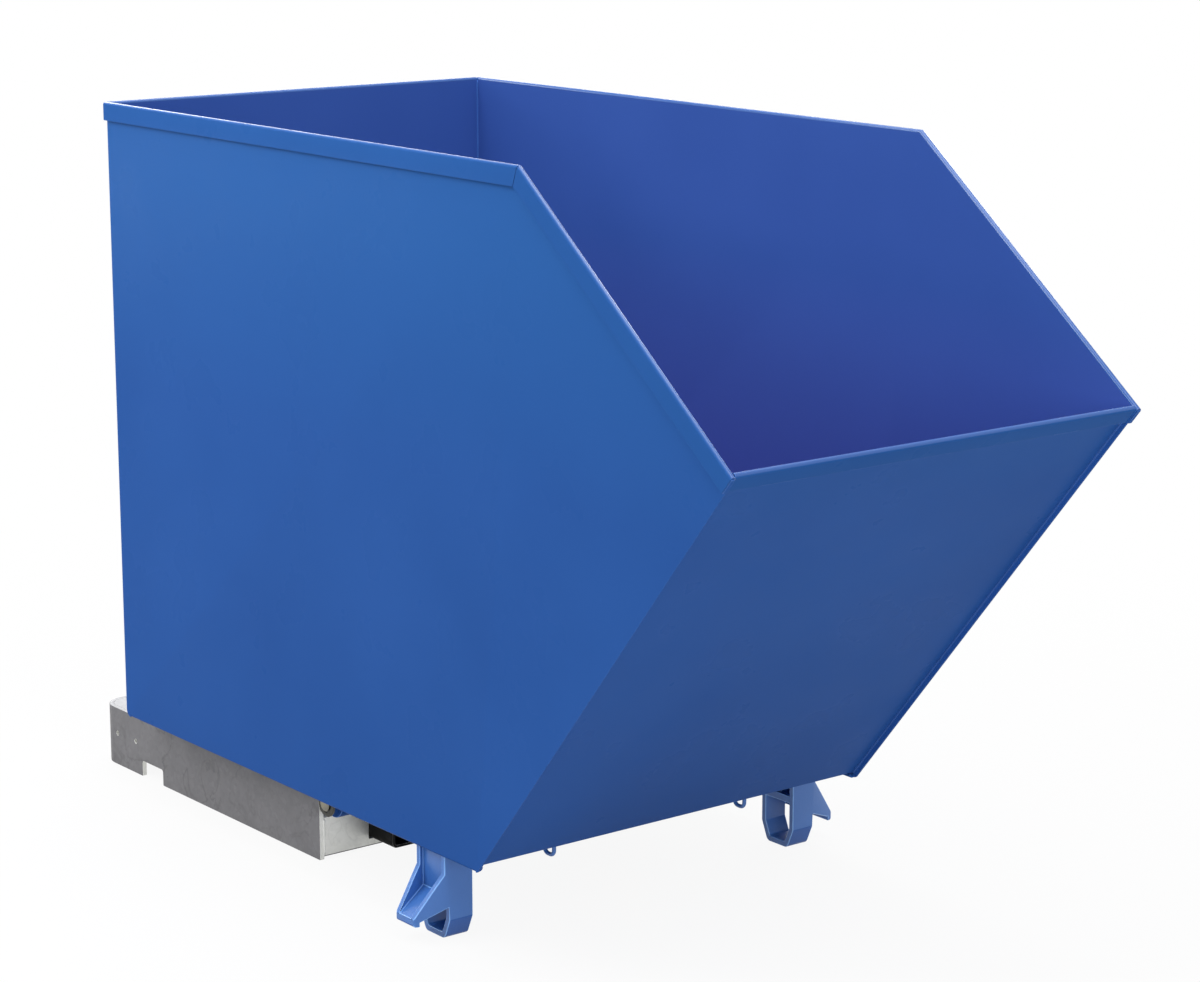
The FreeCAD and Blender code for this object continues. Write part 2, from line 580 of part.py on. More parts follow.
def front_beam():
    """Channel between the side plates, open to the rear, notched from above for each fork pocket."""
    x = PLATE_X - CHASSIS_PLATE
    y1 = BEAM_Y + BEAM_DEPTH
    beam = box(-x, x, BEAM_Y, y1, BEAM_BASE, BEAM_TOP)
    beam = beam.cut(box(-x, x, BEAM_Y + BEAM_PLATE, y1, BEAM_BASE + BEAM_PLATE, BEAM_TOP - BEAM_PLATE))
    beam = rounded(beam, BEAM_RADIUS, (BEAM_Y, BEAM_BASE), (BEAM_Y, BEAM_TOP))
    for x0, x1 in pocket_gaps():
        beam = beam.cut(box(x0, x1, BEAM_Y, y1, POCKET_BASE - WELD_GAP, BEAM_TOP))
    return beam


def pivot_bush():
    bush = rod(PIVOT_Y, PIVOT_HEIGHT, BUSH_RADIUS, BUSH_X, PLATE_X)
    return bush.cut(rod(PIVOT_Y, PIVOT_HEIGHT, PIN_RADIUS + RUNNING_GAP, BUSH_X, PLATE_X))


def pivot_ear():
    """Plate on the front beam that holds the inner end of the pivot pin."""
    x0 = EAR_X - EAR_PLATE
    front = (BEAM_Y + BEAM_RADIUS, BEAM_TOP)
    rear = (BEAM_Y + BEAM_DEPTH, BEAM_TOP)
    ear = teardrop(front, rear, (PIVOT_Y, PIVOT_HEIGHT), BUSH_RADIUS, x0, EAR_X)
    return ear.cut(rod(PIVOT_Y, PIVOT_HEIGHT, PIN_RADIUS + RUNNING_GAP, x0, EAR_X))


def clip_place():
    """X of the spring pin, just inside the washer."""
    return EAR_X - EAR_PLATE - PIN_WASHER - CLIP_DIAMETER / 2


def pivot_pin():
    """Pin with a low head outside the bush and a cross hole for its spring pin."""
    tail = clip_place() - CLIP_DIAMETER / 2 - PIN_TAIL
    pin = rod(PIVOT_Y, PIVOT_HEIGHT, PIN_RADIUS, tail, PLATE_X)
    pin = pin.fuse(rod(PIVOT_Y, PIVOT_HEIGHT, PIN_HEAD_RADIUS, PLATE_X, PLATE_X + PIN_HEAD))
    return pin.removeSplitter().cut(pin_clip())


def pin_washer():
    x0 = EAR_X - EAR_PLATE - PIN_WASHER
    washer = rod(PIVOT_Y, PIVOT_HEIGHT, PIN_WASHER_RADIUS, x0, x0 + PIN_WASHER)
    return washer.cut(rod(PIVOT_Y, PIVOT_HEIGHT, PIN_RADIUS + RUNNING_GAP, x0, x0 + PIN_WASHER))


def pin_clip():
    base = vec(clip_place(), PIVOT_Y, PIVOT_HEIGHT - CLIP_LENGTH / 2)
    return Part.makeCylinder(CLIP_DIAMETER / 2, CLIP_LENGTH, base)


# Latch: directions from its pivot, in degrees from +Y towards +Z, with the hook locked
JAW = hypot(STRIKER_Y - LATCH_Y, STRIKER_HEIGHT - LATCH_HEIGHT) + STRIKER_RADIUS + HOOK_CLEAR
STRIKER_ANGLE = degrees(atan2(STRIKER_HEIGHT - LATCH_HEIGHT, STRIKER_Y - LATCH_Y))
ARM_ROOM = degrees(asin((STRIKER_RADIUS + HOOK_CLEAR) / (JAW - STRIKER_RADIUS - HOOK_CLEAR)))
ARM_ANGLE = STRIKER_ANGLE - ARM_ROOM - degrees(asin(HOOK_ARM / 2 / (JAW - STRIKER_RADIUS - HOOK_CLEAR)))
OPEN_ANGLE = ARM_ANGLE - LATCH_SWING
STOP_ANGLE = OPEN_ANGLE - degrees(asin((HOOK_ARM / 2 + STOP_RADIUS + REST_GAP) / STOP_REACH))


def from_latch(reach, angle):
    return LATCH_Y + reach * cos(radians(angle)), LATCH_HEIGHT + reach * sin(radians(angle))


def latch_bar(half_width, reach0, reach1, x):
    """Bar along the arm's direction at rest, from one distance of the pivot to another."""
    along = (cos(radians(OPEN_ANGLE)), sin(radians(OPEN_ANGLE)))
    corners = []
    for reach, side in ((reach0, -1), (reach1, -1), (reach1, 1), (reach0, 1)):
        y, z = from_latch(reach, OPEN_ANGLE)
        corners.append((y - along[1] * side * half_width, z + along[0] * side * half_width))
    return prism_x(corners, -x, x)


def latch_hook():
    """Hook and hand lever in one plate, drawn in its open rest position."""
    x = HOOK_PLATE / 2
    hook = rod(LATCH_Y, LATCH_HEIGHT, LATCH_BOSS, -x, x)
    hook = hook.fuse(latch_bar(HOOK_ARM / 2, 0, LEVER_LENGTH, x))
    first = OPEN_ANGLE
    last = STRIKER_ANGLE + HOOK_NOSE - LATCH_SWING
    ring = rod(LATCH_Y, LATCH_HEIGHT, JAW + HOOK_DEPTH, -x, x)
    ring = ring.cut(rod(LATCH_Y, LATCH_HEIGHT, JAW, -x, x))
    far = 2 * (JAW + HOOK_DEPTH)
    sector = [(LATCH_Y, LATCH_HEIGHT), from_latch(far, first), from_latch(far, last)]
    hook = hook.fuse(ring.common(prism_x(sector, -x, x))).removeSplitter()
    return hook.cut(rod(LATCH_Y, LATCH_HEIGHT, LATCH_BOLT / 2 + RUNNING_GAP, -x, x))


def lever_grip():
    """Round hand grip, pushed over the end of the lever."""
    start = LEVER_LENGTH + GRIP_CAP - GRIP_LENGTH
    along = vec(0, cos(radians(OPEN_ANGLE)), sin(radians(OPEN_ANGLE)))
    base = vec(0, *from_latch(start, OPEN_ANGLE))
    grip = Part.makeCylinder(GRIP_RADIUS, GRIP_LENGTH, base, along)
    return grip.cut(latch_bar(HOOK_ARM / 2, start, LEVER_LENGTH, HOOK_PLATE / 2))


def latch_bracket():
    """Base plate on the deck, with two cheeks round the hook."""
    z1 = CHASSIS_HEIGHT + BRACKET_BASE
    bracket = box(-BRACKET_WIDTH / 2, BRACKET_WIDTH / 2, BRACKET_Y - BRACKET_LENGTH / 2,
                  BRACKET_Y + BRACKET_LENGTH / 2, CHASSIS_HEIGHT, z1)
    stop = from_latch(STOP_REACH, STOP_ANGLE)
    inner = HOOK_PLATE / 2 + CHEEK_GAP
    for x0, x1 in ((inner, inner + CHEEK_PLATE), (-inner - CHEEK_PLATE, -inner)):
        front = (LATCH_Y - CHEEK_FRONT, z1)
        rear = (stop[0] + STOP_FOOT, z1)
        cheek = teardrop(front, rear, (LATCH_Y, LATCH_HEIGHT), LATCH_BOSS, x0, x1)
        cheek = cheek.fuse(teardrop((LATCH_Y, z1), rear, stop, STOP_BOSS, x0, x1))
        bracket = bracket.fuse(cheek)
    reach = inner + CHEEK_PLATE
    bracket = bracket.removeSplitter()
    return bracket.cut(rod(LATCH_Y, LATCH_HEIGHT, LATCH_BOLT / 2 + RUNNING_GAP, -reach, reach))


def latch_stop_pin():
    """Pin welded between the cheeks, which the open lever leans on."""
    reach = HOOK_PLATE / 2 + CHEEK_GAP
    return rod(*from_latch(STOP_REACH, STOP_ANGLE), STOP_RADIUS, -reach, reach)


def turned_to_x(shape):
    """Turn a fastener made along Z at the origin to lie along X at the latch pivot."""
    shape.rotate(vec(0, 0, 0), vec(0, 1, 0), 90)
    shape.translate(vec(0, LATCH_Y, LATCH_HEIGHT))
    return shape


def latch_bolt():
    head = HEX_HEIGHT * LATCH_BOLT
    reach = HOOK_PLATE / 2 + CHEEK_GAP + CHEEK_PLATE
    bolt = Part.makeCylinder(LATCH_BOLT / 2, 2 * reach + head + BOLT_TAIL, vec(0, 0, -reach))
    return turned_to_x(bolt.fuse(hexagon(-reach - head, LATCH_BOLT, head)).removeSplitter())


def latch_nut():
    reach = HOOK_PLATE / 2 + CHEEK_GAP + CHEEK_PLATE
    nut = hexagon(reach, LATCH_BOLT, HEX_HEIGHT * LATCH_BOLT)
    return turned_to_x(nut.cut(Part.makeCylinder(LATCH_BOLT / 2, 2 * reach, vec(0, 0, 0))))


os.makedirs("parts", exist_ok=True)
save_pair("side_panel", side_panel())
save("back_panel", back_panel())
save("floor_panel", floor_panel())
save("front_panel", front_panel())
save_pair("pivot_lug", pivot_lug())
save_pair("foot", foot())
save_pair("floor_eye", floor_eye())
save("rest_channel", rest_channel())
save("striker_bracket", striker_bracket())
save("striker_bar", striker_bar())
save_pair("chassis_side", chassis_side())
save("chassis_rear_plate", chassis_rear_plate())
save("chassis_deck", chassis_deck())
save_pair("fork_pocket", fork_pocket())
save("front_beam", front_beam())
save("pivot_bushes", both_sides(pivot_bush()))
save_pair("pivot_ear", pivot_ear())
save_pair("pivot_pin", pivot_pin())
save("pin_washers", both_sides(pin_washer()))
save("pin_clips", both_sides(pin_clip()))
save_pair("rest_pad", rest_pad())
save("latch_bracket", latch_bracket())
save("latch_stop_pin", latch_stop_pin())
save("latch_bolt", latch_bolt())
save("latch_nut", latch_nut())
save("latch_hook", latch_hook())
save("lever_grip", lever_grip())
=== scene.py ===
from math import atan2, ceil, cos, hypot, pi, radians, sin, tan

import bmesh
import bpy
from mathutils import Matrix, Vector


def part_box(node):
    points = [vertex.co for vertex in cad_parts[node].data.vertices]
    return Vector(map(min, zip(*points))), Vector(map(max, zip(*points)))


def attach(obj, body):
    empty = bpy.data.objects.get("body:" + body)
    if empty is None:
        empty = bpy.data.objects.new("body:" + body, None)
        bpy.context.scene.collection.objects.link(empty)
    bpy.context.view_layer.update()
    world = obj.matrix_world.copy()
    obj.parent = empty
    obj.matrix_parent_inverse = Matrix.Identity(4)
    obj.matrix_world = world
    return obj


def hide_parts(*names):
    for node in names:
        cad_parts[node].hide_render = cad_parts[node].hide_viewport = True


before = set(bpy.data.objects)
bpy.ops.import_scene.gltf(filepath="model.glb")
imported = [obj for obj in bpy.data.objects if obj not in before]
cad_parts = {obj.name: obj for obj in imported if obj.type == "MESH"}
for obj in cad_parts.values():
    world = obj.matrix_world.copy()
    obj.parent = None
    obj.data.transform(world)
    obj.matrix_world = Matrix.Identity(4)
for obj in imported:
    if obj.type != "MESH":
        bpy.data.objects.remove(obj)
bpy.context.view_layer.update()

# Side sheets of the bin. Each is 3 mm steel cut to one outline, folded out and down along its two top
# edges into a rim, and in and up along the bottom into a hem. The rim is mitred at its corner, and a
# small plate closes each end. The whole bin is powder coated blue after welding.
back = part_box("floor_panel")[1][1]
sheet = 0.003
half_width = 0.375
inside = half_width - sheet
rim_reach, rim_band = 0.0065, 0.030
fold = 0.003
heel, toe = (back, 0.135), (back - 1.026, 0.135)
tip, brow, crown = (back - 1.601, 0.824), (back - 1.143, 1.183), (back, 1.183)
tip_round, tip_setback, mitre_gap = 0.004, 0.0013, 0.0012
hem_width, hem_height, hem_fold, hem_lift = 0.013, 0.014, 0.0045, 0.0004
hem_front, leg_front, hem_rear = 0.003, 0.0105, 0.012
toe_round, heel_round, cut_edge = 0.006, 0.0119, 0.0006
end_plate_inset, end_plate_top, end_plate_tip, end_plate_edge = 0.001, 0.0025, 0.003, 0.0005
hands = (("left", -1), ("right", 1))


def unit(start, end):
    """Direction from one flat point to another."""
    length = hypot(end[0] - start[0], end[1] - start[1])
    return (end[0] - start[0]) / length, (end[1] - start[1]) / length


def meet(p, u, q, v):
    """Where the line through p along u crosses the line through q along v."""
    turn = u[0] * v[1] - u[1] * v[0]
    share = ((q[0] - p[0]) * v[1] - (q[1] - p[1]) * v[0]) / turn
    return p[0] + u[0] * share, p[1] + u[1] * share


def arc(centre, radius, first, last, steps=6):
    """Points of an arc, with its angles in degrees."""
    angles = [radians(first + (last - first) * k / steps) for k in range(steps + 1)]
    return [(centre[0] + radius * cos(a), centre[1] + radius * sin(a)) for a in angles]


def rounded(points, radii, steps=6):
    """A closed outline with its corners rounded, one radius for each point."""
    line = []
    for k, point in enumerate(points):
        if not radii[k]:
            line.append(point)
            continue
        at = Vector(point)
        before = (Vector(points[k - 1]) - at).normalized()
        after = (Vector(points[(k + 1) % len(points)]) - at).normalized()
        half = before.angle(after) / 2
        centre = at + (before + after).normalized() * radii[k] / sin(half)
        start = at + before * radii[k] / tan(half) - centre
        end = at + after * radii[k] / tan(half) - centre
        first = atan2(start.y, start.x)
        sweep = (atan2(end.y, end.x) - first + pi) % (2 * pi) - pi
        for n in range(steps + 1):
            angle = first + sweep * n / steps
            line.append((centre.x + radii[k] * cos(angle), centre.y + radii[k] * sin(angle)))
    return line


def rim_section(start):
    """Middle line of a folded rim, as distance outwards and depth, from the sheet over to its band."""
    top = sheet / 2 + fold
    band = start + rim_reach
    rise = [(x, 2 * top - z) for x, z in arc((start + fold, top), fold, 180, 90)]
    drop = [(x, 2 * top - z) for x, z in arc((band - fold, top), fold, 90, 0)]
    return rise + drop + [(band, rim_band)]


def finish(name, colour, roughness, metallic=0.0, specular=0.5):
    """A new surface finish: its material, its node tree and its shader."""
    material = bpy.data.materials.new(name)
    material.use_nodes = True
    tree = material.node_tree
    shader = tree.nodes["Principled BSDF"]
    shader.inputs["Base Color"].default_value = (*colour, 1)
    shader.inputs["Roughness"].default_value = roughness
    shader.inputs["Metallic"].default_value = metallic
    shader.inputs["Specular IOR Level"].default_value = specular
    material.diffuse_color = (*colour, 1)
    return material, tree, shader


def grain(tree, scale, detail=3.0, stretch=(1, 1, 1), distortion=0.0):
    """Cloudy noise fixed to the piece, in cycles per metre, and dragged out along an axis by stretch."""
    place = tree.nodes.new("ShaderNodeTexCoord")
    scaling = tree.nodes.new("ShaderNodeMapping")
    scaling.inputs["Scale"].default_value = stretch
    noise = tree.nodes.new("ShaderNodeTexNoise")
    noise.inputs["Scale"].default_value = scale
    noise.inputs["Detail"].default_value = detail
    noise.inputs["Distortion"].default_value = distortion
    tree.links.new(place.outputs["Object"], scaling.inputs["Vector"])
    tree.links.new(scaling.outputs["Vector"], noise.inputs["Vector"])
    return noise.outputs["Fac"]


def ranged(tree, value, low, high, to_low=0.0, to_high=1.0):
    """A value stretched from one range to another, and held inside it."""
    spread = tree.nodes.new("ShaderNodeMapRange")
    for key, number in (("From Min", low), ("From Max", high), ("To Min", to_low), ("To Max", to_high)):
        spread.inputs[key].default_value = number
    tree.links.new(value, spread.inputs["Value"])
    return spread.outputs["Result"]


def blended(tree, factor, first, second):
    """Two colours mixed by a factor. Each is a colour or another node's output."""
    mix = tree.nodes.new("ShaderNodeMix")
    mix.data_type = "RGBA"
    tree.links.new(factor, mix.inputs["Factor"])
    for socket, colour in ((mix.inputs[6], first), (mix.inputs[7], second)):
        if isinstance(colour, tuple):
            socket.default_value = (*colour, 1)
        else:
            tree.links.new(colour, socket)
    return mix.outputs[2]


def raised(tree, height, depth, under=None):
    """Small relief of the surface, as deep as given in metres, over any relief under it."""
    bump = tree.nodes.new("ShaderNodeBump")
    bump.inputs["Strength"].default_value = 1.0
    bump.inputs["Distance"].default_value = depth
    tree.links.new(height, bump.inputs["Height"])
    if under is not None:
        tree.links.new(under, bump.inputs["Normal"])
    return bump.outputs["Normal"]


def joined(tree, shader, colour, gloss, relief=None):
    """Join the colour, roughness and relief of a finish to its shader."""
    for socket, value in (("Base Color", colour), ("Roughness", gloss), ("Normal", relief)):
        if value is not None:
            tree.links.new(value, shader.inputs[socket])


def blue_coat(name, deep, light, roughness, waves, specular=0.01, peel=0.00006):
    """Powder coat: fine orange peel, sheet waves below it, faint clouding, pale rub marks here and there."""
    material, tree, shader = finish(name, deep, roughness, specular=specular)
    clouds = ranged(tree, grain(tree, 2.6), 0.3, 0.7)
    colour = blended(tree, clouds, deep, light)
    rubs = ranged(tree, grain(tree, 34, 6.0, (1, 1, 2.4), 1.4), 0.69, 0.76, 0.0, 0.06)
    colour = blended(tree, rubs, colour, tuple(min(1.0, 1.5 * part + 0.02) for part in light))
    specks = ranged(tree, grain(tree, 520, 2.0), 0.72, 0.80, 0.0, 0.15)
    colour = blended(tree, specks, colour, tuple(0.55 * part for part in deep))
    gloss = ranged(tree, grain(tree, 9, 4.0), 0.3, 0.7, roughness - 0.05, roughness + 0.06)
    relief = raised(tree, grain(tree, 4.2, 1.0), waves)
    relief = raised(tree, grain(tree, 640, 1.0), peel, relief)
    joined(tree, shader, colour, gloss, relief)
    return material


def graded(coat, start, end, share, colour):
    """Let a coat turn to another colour between two heights. Gives its node tree and the new colour."""
    tree = coat.node_tree
    base = tree.nodes["Principled BSDF"].inputs["Base Color"]
    place = tree.nodes.new("ShaderNodeTexCoord")
    height = tree.nodes.new("ShaderNodeSeparateXYZ")
    tree.links.new(place.outputs["Object"], height.inputs["Vector"])
    amount = ranged(tree, height.outputs["Z"], start, end, 0.0, share)
    mixed = blended(tree, amount, base.links[0].from_socket, colour)
    tree.links.new(mixed, base)
    return tree, mixed


blue = blue_coat("blue_powder_coat", (0.019, 0.076, 0.278), (0.022, 0.085, 0.303), 0.30, 0.0004)
# Painted light: the outside coat turns lighter and greener towards the top of the bin, standing in for the glow of
# the lamps on the upper sheets.
blue_in_painted_top_light, top_light_from, top_light_to = (0.0215, 0.097, 0.312), 0.72, 1.06
graded(blue, top_light_from, top_light_to, 0.85, blue_in_painted_top_light)
blue_band = blue_coat("blue_coat_on_rim_band", (0.0180, 0.079, 0.268), (0.0205, 0.087, 0.290), 0.30, 0.0004)
# Painted light inside the bin: the inside coat is a little more violet than the outside one, standing in for light
# bounced between the blue walls. Lower down it turns lighter and greyer violet towards the floor, which fills the
# shade low in the bin.
blue_inside = blue_coat("blue_coat_inside_bin", (0.029, 0.072, 0.280), (0.033, 0.080, 0.303), 0.36, 0.0004)
inside_blue_in_painted_light, inside_light_from, inside_light_to = (0.088, 0.104, 0.44), 0.95, 0.25
tree, inside_painted_light = graded(blue_inside, inside_light_from, inside_light_to, 0.9, inside_blue_in_painted_light)
climb = unit(toe, tip)
place = tree.nodes.new("ShaderNodeTexCoord")
forward = tree.nodes.new("ShaderNodeVectorMath")
forward.operation = "DOT_PRODUCT"
forward.inputs[1].default_value = (0, -climb[1], climb[0])
tree.links.new(place.outputs["Object"], forward.inputs[0])
front_edge = climb[0] * toe[1] - climb[1] * toe[0]
# Painted light: a lighter strip on the inside of each side sheet, within about a centimetre of its front edge, where
# that face stands out past the front sheet and lies in shade.
painted_strip_reach, strip_blue_in_painted_light = (0.0095, 0.0115), (0.030, 0.116, 0.41)
in_painted_strip = ranged(tree, forward.outputs["Value"], front_edge - painted_strip_reach[0], front_edge - painted_strip_reach[1])
tree.links.new(blended(tree, in_painted_strip, strip_blue_in_painted_light, inside_painted_light), tree.nodes["Principled BSDF"].inputs["Base Color"])
blue_fold = blue_coat("blue_coat_on_folds", (0.020, 0.080, 0.285), (0.023, 0.089, 0.31), 0.20, 0.0002, 0.5, 0.00001)
blue_edge = blue_coat("blue_coat_on_cut_edges", (0.03, 0.12, 0.42), (0.05, 0.16, 0.48), 0.26, 0.0002, 0.35, 0.00002)
sheet_finishes = [blue, blue_inside, blue_fold, blue_fold, blue_band, blue_band, blue_edge]
on_fold, on_band = 2, 4


def piece(name, mesh, body, slot, finishes, *replaced):
    """Put a made mesh into the scene as a piece of the object."""
    made = bpy.data.objects.new(name, mesh)
    bpy.context.scene.collection.objects.link(made)
    for material in finishes:
        mesh.materials.append(material)
    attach(made, body)
    if replaced:
        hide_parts(*replaced)
    return made


def smooth_mesh(name, work):
    """Mesh from the faces gathered so far, shaded smooth."""
    mesh = bpy.data.meshes.new(name)
    work.to_mesh(mesh)
    work.free()
    mesh.shade_smooth()
    return mesh


def built(name, work, outward=None):
    """Mesh from the faces gathered so far, with touching points joined. A sheet's main face looks outward."""
    bmesh.ops.remove_doubles(work, verts=work.verts, dist=0.00001)
    bmesh.ops.recalc_face_normals(work, faces=work.faces)
    if outward and max(work.faces, key=lambda face: face.calc_area()).normal.dot(Vector(outward)) < 0:
        bmesh.ops.reverse_faces(work, faces=work.faces)
    return smooth_mesh(name, work)


def edged(made, width, segments=2):
    """Round all sharp edges. The rounding takes the last finish in the piece's list."""
    bevel = made.modifiers.new("rounded_edges", "BEVEL")
    bevel.width = width
    bevel.segments = segments
    bevel.limit_method = "ANGLE"
    bevel.angle_limit = radians(38)
    bevel.harden_normals = True
    bevel.material = len(made.data.materials) - 1


def thickened(made, thickness, inner_finish=0):
    """Give a sheet's middle surface its thickness. Its inner side takes a finish further on in the list."""
    solid = made.modifiers.new("sheet_thickness", "SOLIDIFY")
    solid.thickness = thickness
    solid.offset = 0.0
    solid.use_even_offset = True
    solid.material_offset = inner_finish


def strip(work, rows, finishes=None):
    """Faces between rows of points, each row as long as the next. Each gap may have its own finish."""
    made = [[work.verts.new(point) for point in row] for row in rows]
    for n, (low, high) in enumerate(zip(made, made[1:])):
        for k in range(len(low) - 1):
            face = work.faces.new((low[k], low[k + 1], high[k + 1], high[k]))
            face.material_index = finishes[n] if finishes else 0


def block(work, outline, x0, x1):
    """Solid between two places along X, from a closed outline of (y, z) points."""
    ends = [[work.verts.new((x, y, z)) for y, z in outline] for x in (x0, x1)]
    work.faces.new(ends[0])
    work.faces.new(ends[1][::-1])
    for k in range(len(outline)):
        work.faces.new((ends[0][k], ends[0][k - 1], ends[1][k - 1], ends[1][k]))


fall = unit(brow, tip)
inward = (-fall[1], fall[0])
rim_finishes = [on_fold] * 10 + [on_band] * 4


def on_level(depth):
    """The level rim's line at a depth below its top, as a point and a direction."""
    return (back, crown[1] - depth), (-1.0, 0.0)


def on_slope(depth):
    """The sloping rim's line at a depth below its top, as a point and a direction."""
    return (brow[0] + inward[0] * depth, brow[1] + inward[1] * depth), fall


def side_sheet(side, sign):
    """One side sheet with its rim and hem, and the plates that close the ends of its rim."""
    mid = half_width - sheet / 2
    work = bmesh.new()
    level_rows, slope_rows = [], []
    for x, depth in rim_section(mid):
        mitre = meet(*on_level(depth), *on_slope(depth))
        end = meet(*on_slope(depth), toe, climb)
        short = tip_round - depth
        cut = tip_setback
        if short > 0:
            cut += tip_round - (tip_round ** 2 - short ** 2) ** 0.5
        end = (end[0] - fall[0] * cut, end[1] - fall[1] * cut)
        gap = mitre_gap / 2 if x > half_width + sheet else 0.0
        level_rows.append([(sign * x, back, crown[1] - depth), (sign * x, mitre[0] + gap, mitre[1])])
        corner = (mitre[0] + gap * fall[0], mitre[1] + gap * fall[1])
        slope_rows.append([(sign * x, *corner), (sign * x, *end)])
    strip(work, level_rows, rim_finishes)
    strip(work, slope_rows, rim_finishes)

    bend = sheet / 2 + fold
    hem_start, leg_start, hem_end = toe[0] + hem_front, toe[0] + leg_front, back - hem_rear
    corners = [level_rows[0][0][1:], level_rows[0][1][1:], slope_rows[0][1][1:], toe,
               (hem_start, toe[1]), (hem_start, toe[1] + bend), (hem_end, toe[1] + bend), (hem_end, toe[1]), heel]
    outline = rounded(corners, [0, 0, 0, toe_round, 0, 0, 0, 0, heel_round])
    work.faces.new([work.verts.new((sign * mid, *point)) for point in outline])
    low, inner = toe[1] + sheet / 2, half_width - hem_width + sheet / 2
    hem = arc((mid - fold, toe[1] + bend), fold, 0, -90)
    hem += arc((inner + hem_fold, low + hem_fold), hem_fold, 270, 180)
    rows = [[(sign * u, hem_start, v), (sign * u, hem_end, v)] for u, v in hem]
    for v in (low + hem_fold + hem_lift, toe[1] + hem_height):
        rows.append([(sign * inner, leg_start, v), (sign * inner, hem_end, v)])
    strip(work, rows)
    made = piece("bin_side_" + side, built("bin_side", work, (sign, 0, 0)), "bin", "blue_paint", sheet_finishes,
                 "side_panel_" + side)
    thickened(made, sheet, 1)
    edged(made, cut_edge)

    work = bmesh.new()
    x0, x1 = sorted((sign * (half_width - end_plate_inset), sign * (half_width + rim_reach - end_plate_inset)))
    top, bottom = crown[1] - end_plate_top, crown[1] - rim_band
    block(work, [(back - sheet, top), (back, top), (back, bottom), (back - sheet, bottom)], x0, x1)
    near, far = meet(*on_slope(end_plate_tip), toe, climb), meet(*on_slope(rim_band), toe, climb)
    block(work, [near, far, (far[0] - fall[0] * sheet, far[1] - fall[1] * sheet),
                 (near[0] - fall[0] * sheet, near[1] - fall[1] * sheet)], x0, x1)
    made = piece("rim_end_plates_" + side, built("rim_end_plates", work), "bin", "blue_paint", [blue, blue_edge])
    edged(made, end_plate_edge)


for side, sign in hands:
    side_sheet(side, sign)

# Front sheet of the bin. It stands a little inside the front edges of the side sheets, with its lip
# folded out and down like the rim, and its lower edge hangs just below the floor sheet. It is one
# 3 mm sheet, welded to both side sheets along its whole length.
front_inset, front_drop = 0.009, 0.0075
front_out = (-climb[1], climb[0])
floor_under = 0.155
foot_of_front = (toe[0] - front_out[0] * front_inset, toe[1] - front_out[1] * front_inset)
front_top = meet(foot_of_front, climb, brow, fall)
front_base = meet(foot_of_front, climb, (0, toe[1] + front_drop), (1, 0))


def folded_wall(name, top, base, outward, node):
    """Flat sheet from side to side, with its top edge folded out and down into the rim."""
    down = unit(top, base)
    length = hypot(base[0] - top[0], base[1] - top[1])
    rows = []
    for out, depth in [(-sheet / 2, length)] + rim_section(-sheet / 2):
        y = top[0] + outward[0] * out + down[0] * depth
        z = top[1] + outward[1] * out + down[1] * depth
        rows.append([(-inside, y, z), (inside, y, z)])
    work = bmesh.new()
    strip(work, rows, [0] + rim_finishes)
    made = piece(name, built(name, work, (0, *outward)), "bin", "blue_paint", sheet_finishes, node)
    thickened(made, sheet, 1)
    edged(made, cut_edge)


folded_wall("bin_front", front_top, front_base, front_out, "front_panel")

# Back sheet of the bin: upright, folded into the same rim at the top, and welded to the side sheets and
# to the turned-up end of the floor. 3 mm steel.
floor_flange = 0.025
seam = (back, floor_under + floor_flange)
folded_wall("bin_back", crown, seam, (1.0, 0.0), "back_panel")

# Floor sheet of the bin: 3 mm steel, folded up at the back with a wide radius so that nothing sticks in
# the corner. Its front edge is welded to the inside of the front sheet.
floor_fold, floor_lap, floor_edge = 0.013 - sheet / 2, 0.0012, 0.0005
middle = floor_under + sheet / 2
front_inner = (foot_of_front[0] - front_out[0] * sheet, foot_of_front[1] - front_out[1] * sheet)
floor_front = meet((0, middle), (1, 0), front_inner, climb)
run = [(seam[0] - sheet / 2, seam[1])]
run += arc((back - sheet / 2 - floor_fold, middle + floor_fold), floor_fold, 0, -90, 8)
run.append((floor_front[0] + floor_lap, middle))
work = bmesh.new()
strip(work, [[(-inside, y, z), (inside, y, z)] for y, z in run])
made = piece("bin_floor", built("bin_floor", work, (0, 0, -1)), "bin", "blue_paint", sheet_finishes,
             "floor_panel")
thickened(made, sheet, 1)
edged(made, floor_edge)

# Welds of the shell: small rippled beads along the corners, inside and outside, laid by hand and painted
# over with the sheets.
ripple, ripple_height, end_taper, bead_sides = 0.006, 0.13, 0.55, 6


def bead(work, path, radius, closed=False):
    """A weld bead along straight runs: round, and wavy where the welder stopped and went on."""
    points = [Vector(p) for p in path] + ([Vector(path[0])] if closed else [])
    total = sum((b - a).length for a, b in zip(points, points[1:]))
    spin = [2 * pi * k / bead_sides for k in range(bead_sides)]
    rings, gone = [], 0.0
    for start, end in zip(points, points[1:]):
        along = end - start
        count = max(2, ceil(along.length / (ripple / 3)))
        side = along.orthogonal().normalized()
        other = along.normalized().cross(side)
        for k in range(count + 1):
            s = gone + along.length * k / count
            wander = 0.07 * sin(31.7 * s) + 0.05 * sin(97.3 * s + 1)
            swell = radius * (1 + ripple_height * sin(2 * pi * s / ripple) + wander)
            if not closed and min(s, total - s) < radius / 2:
                swell *= end_taper
            centre = start + along * (k / count)
            rings.append([work.verts.new(centre + side * (swell * cos(a)) + other * (swell * sin(a))) for a in spin])
        gone += along.length
        for low, high in zip(rings[-count - 1:], rings[-count:]):
            for k in range(bead_sides):
                work.faces.new((low[k - 1], low[k], high[k], high[k - 1]))
        work.faces.new(rings[-1])
        work.faces.new(rings[-count - 1][::-1])


def welds(name, runs, body, slot, material):
    """One piece that holds all the beads of a group, each given as (path, radius) or (path, radius, closed)."""
    work = bmesh.new()
    for run in runs:
        bead(work, *run)
    piece(name, smooth_mesh(name, work), body, slot, [material])


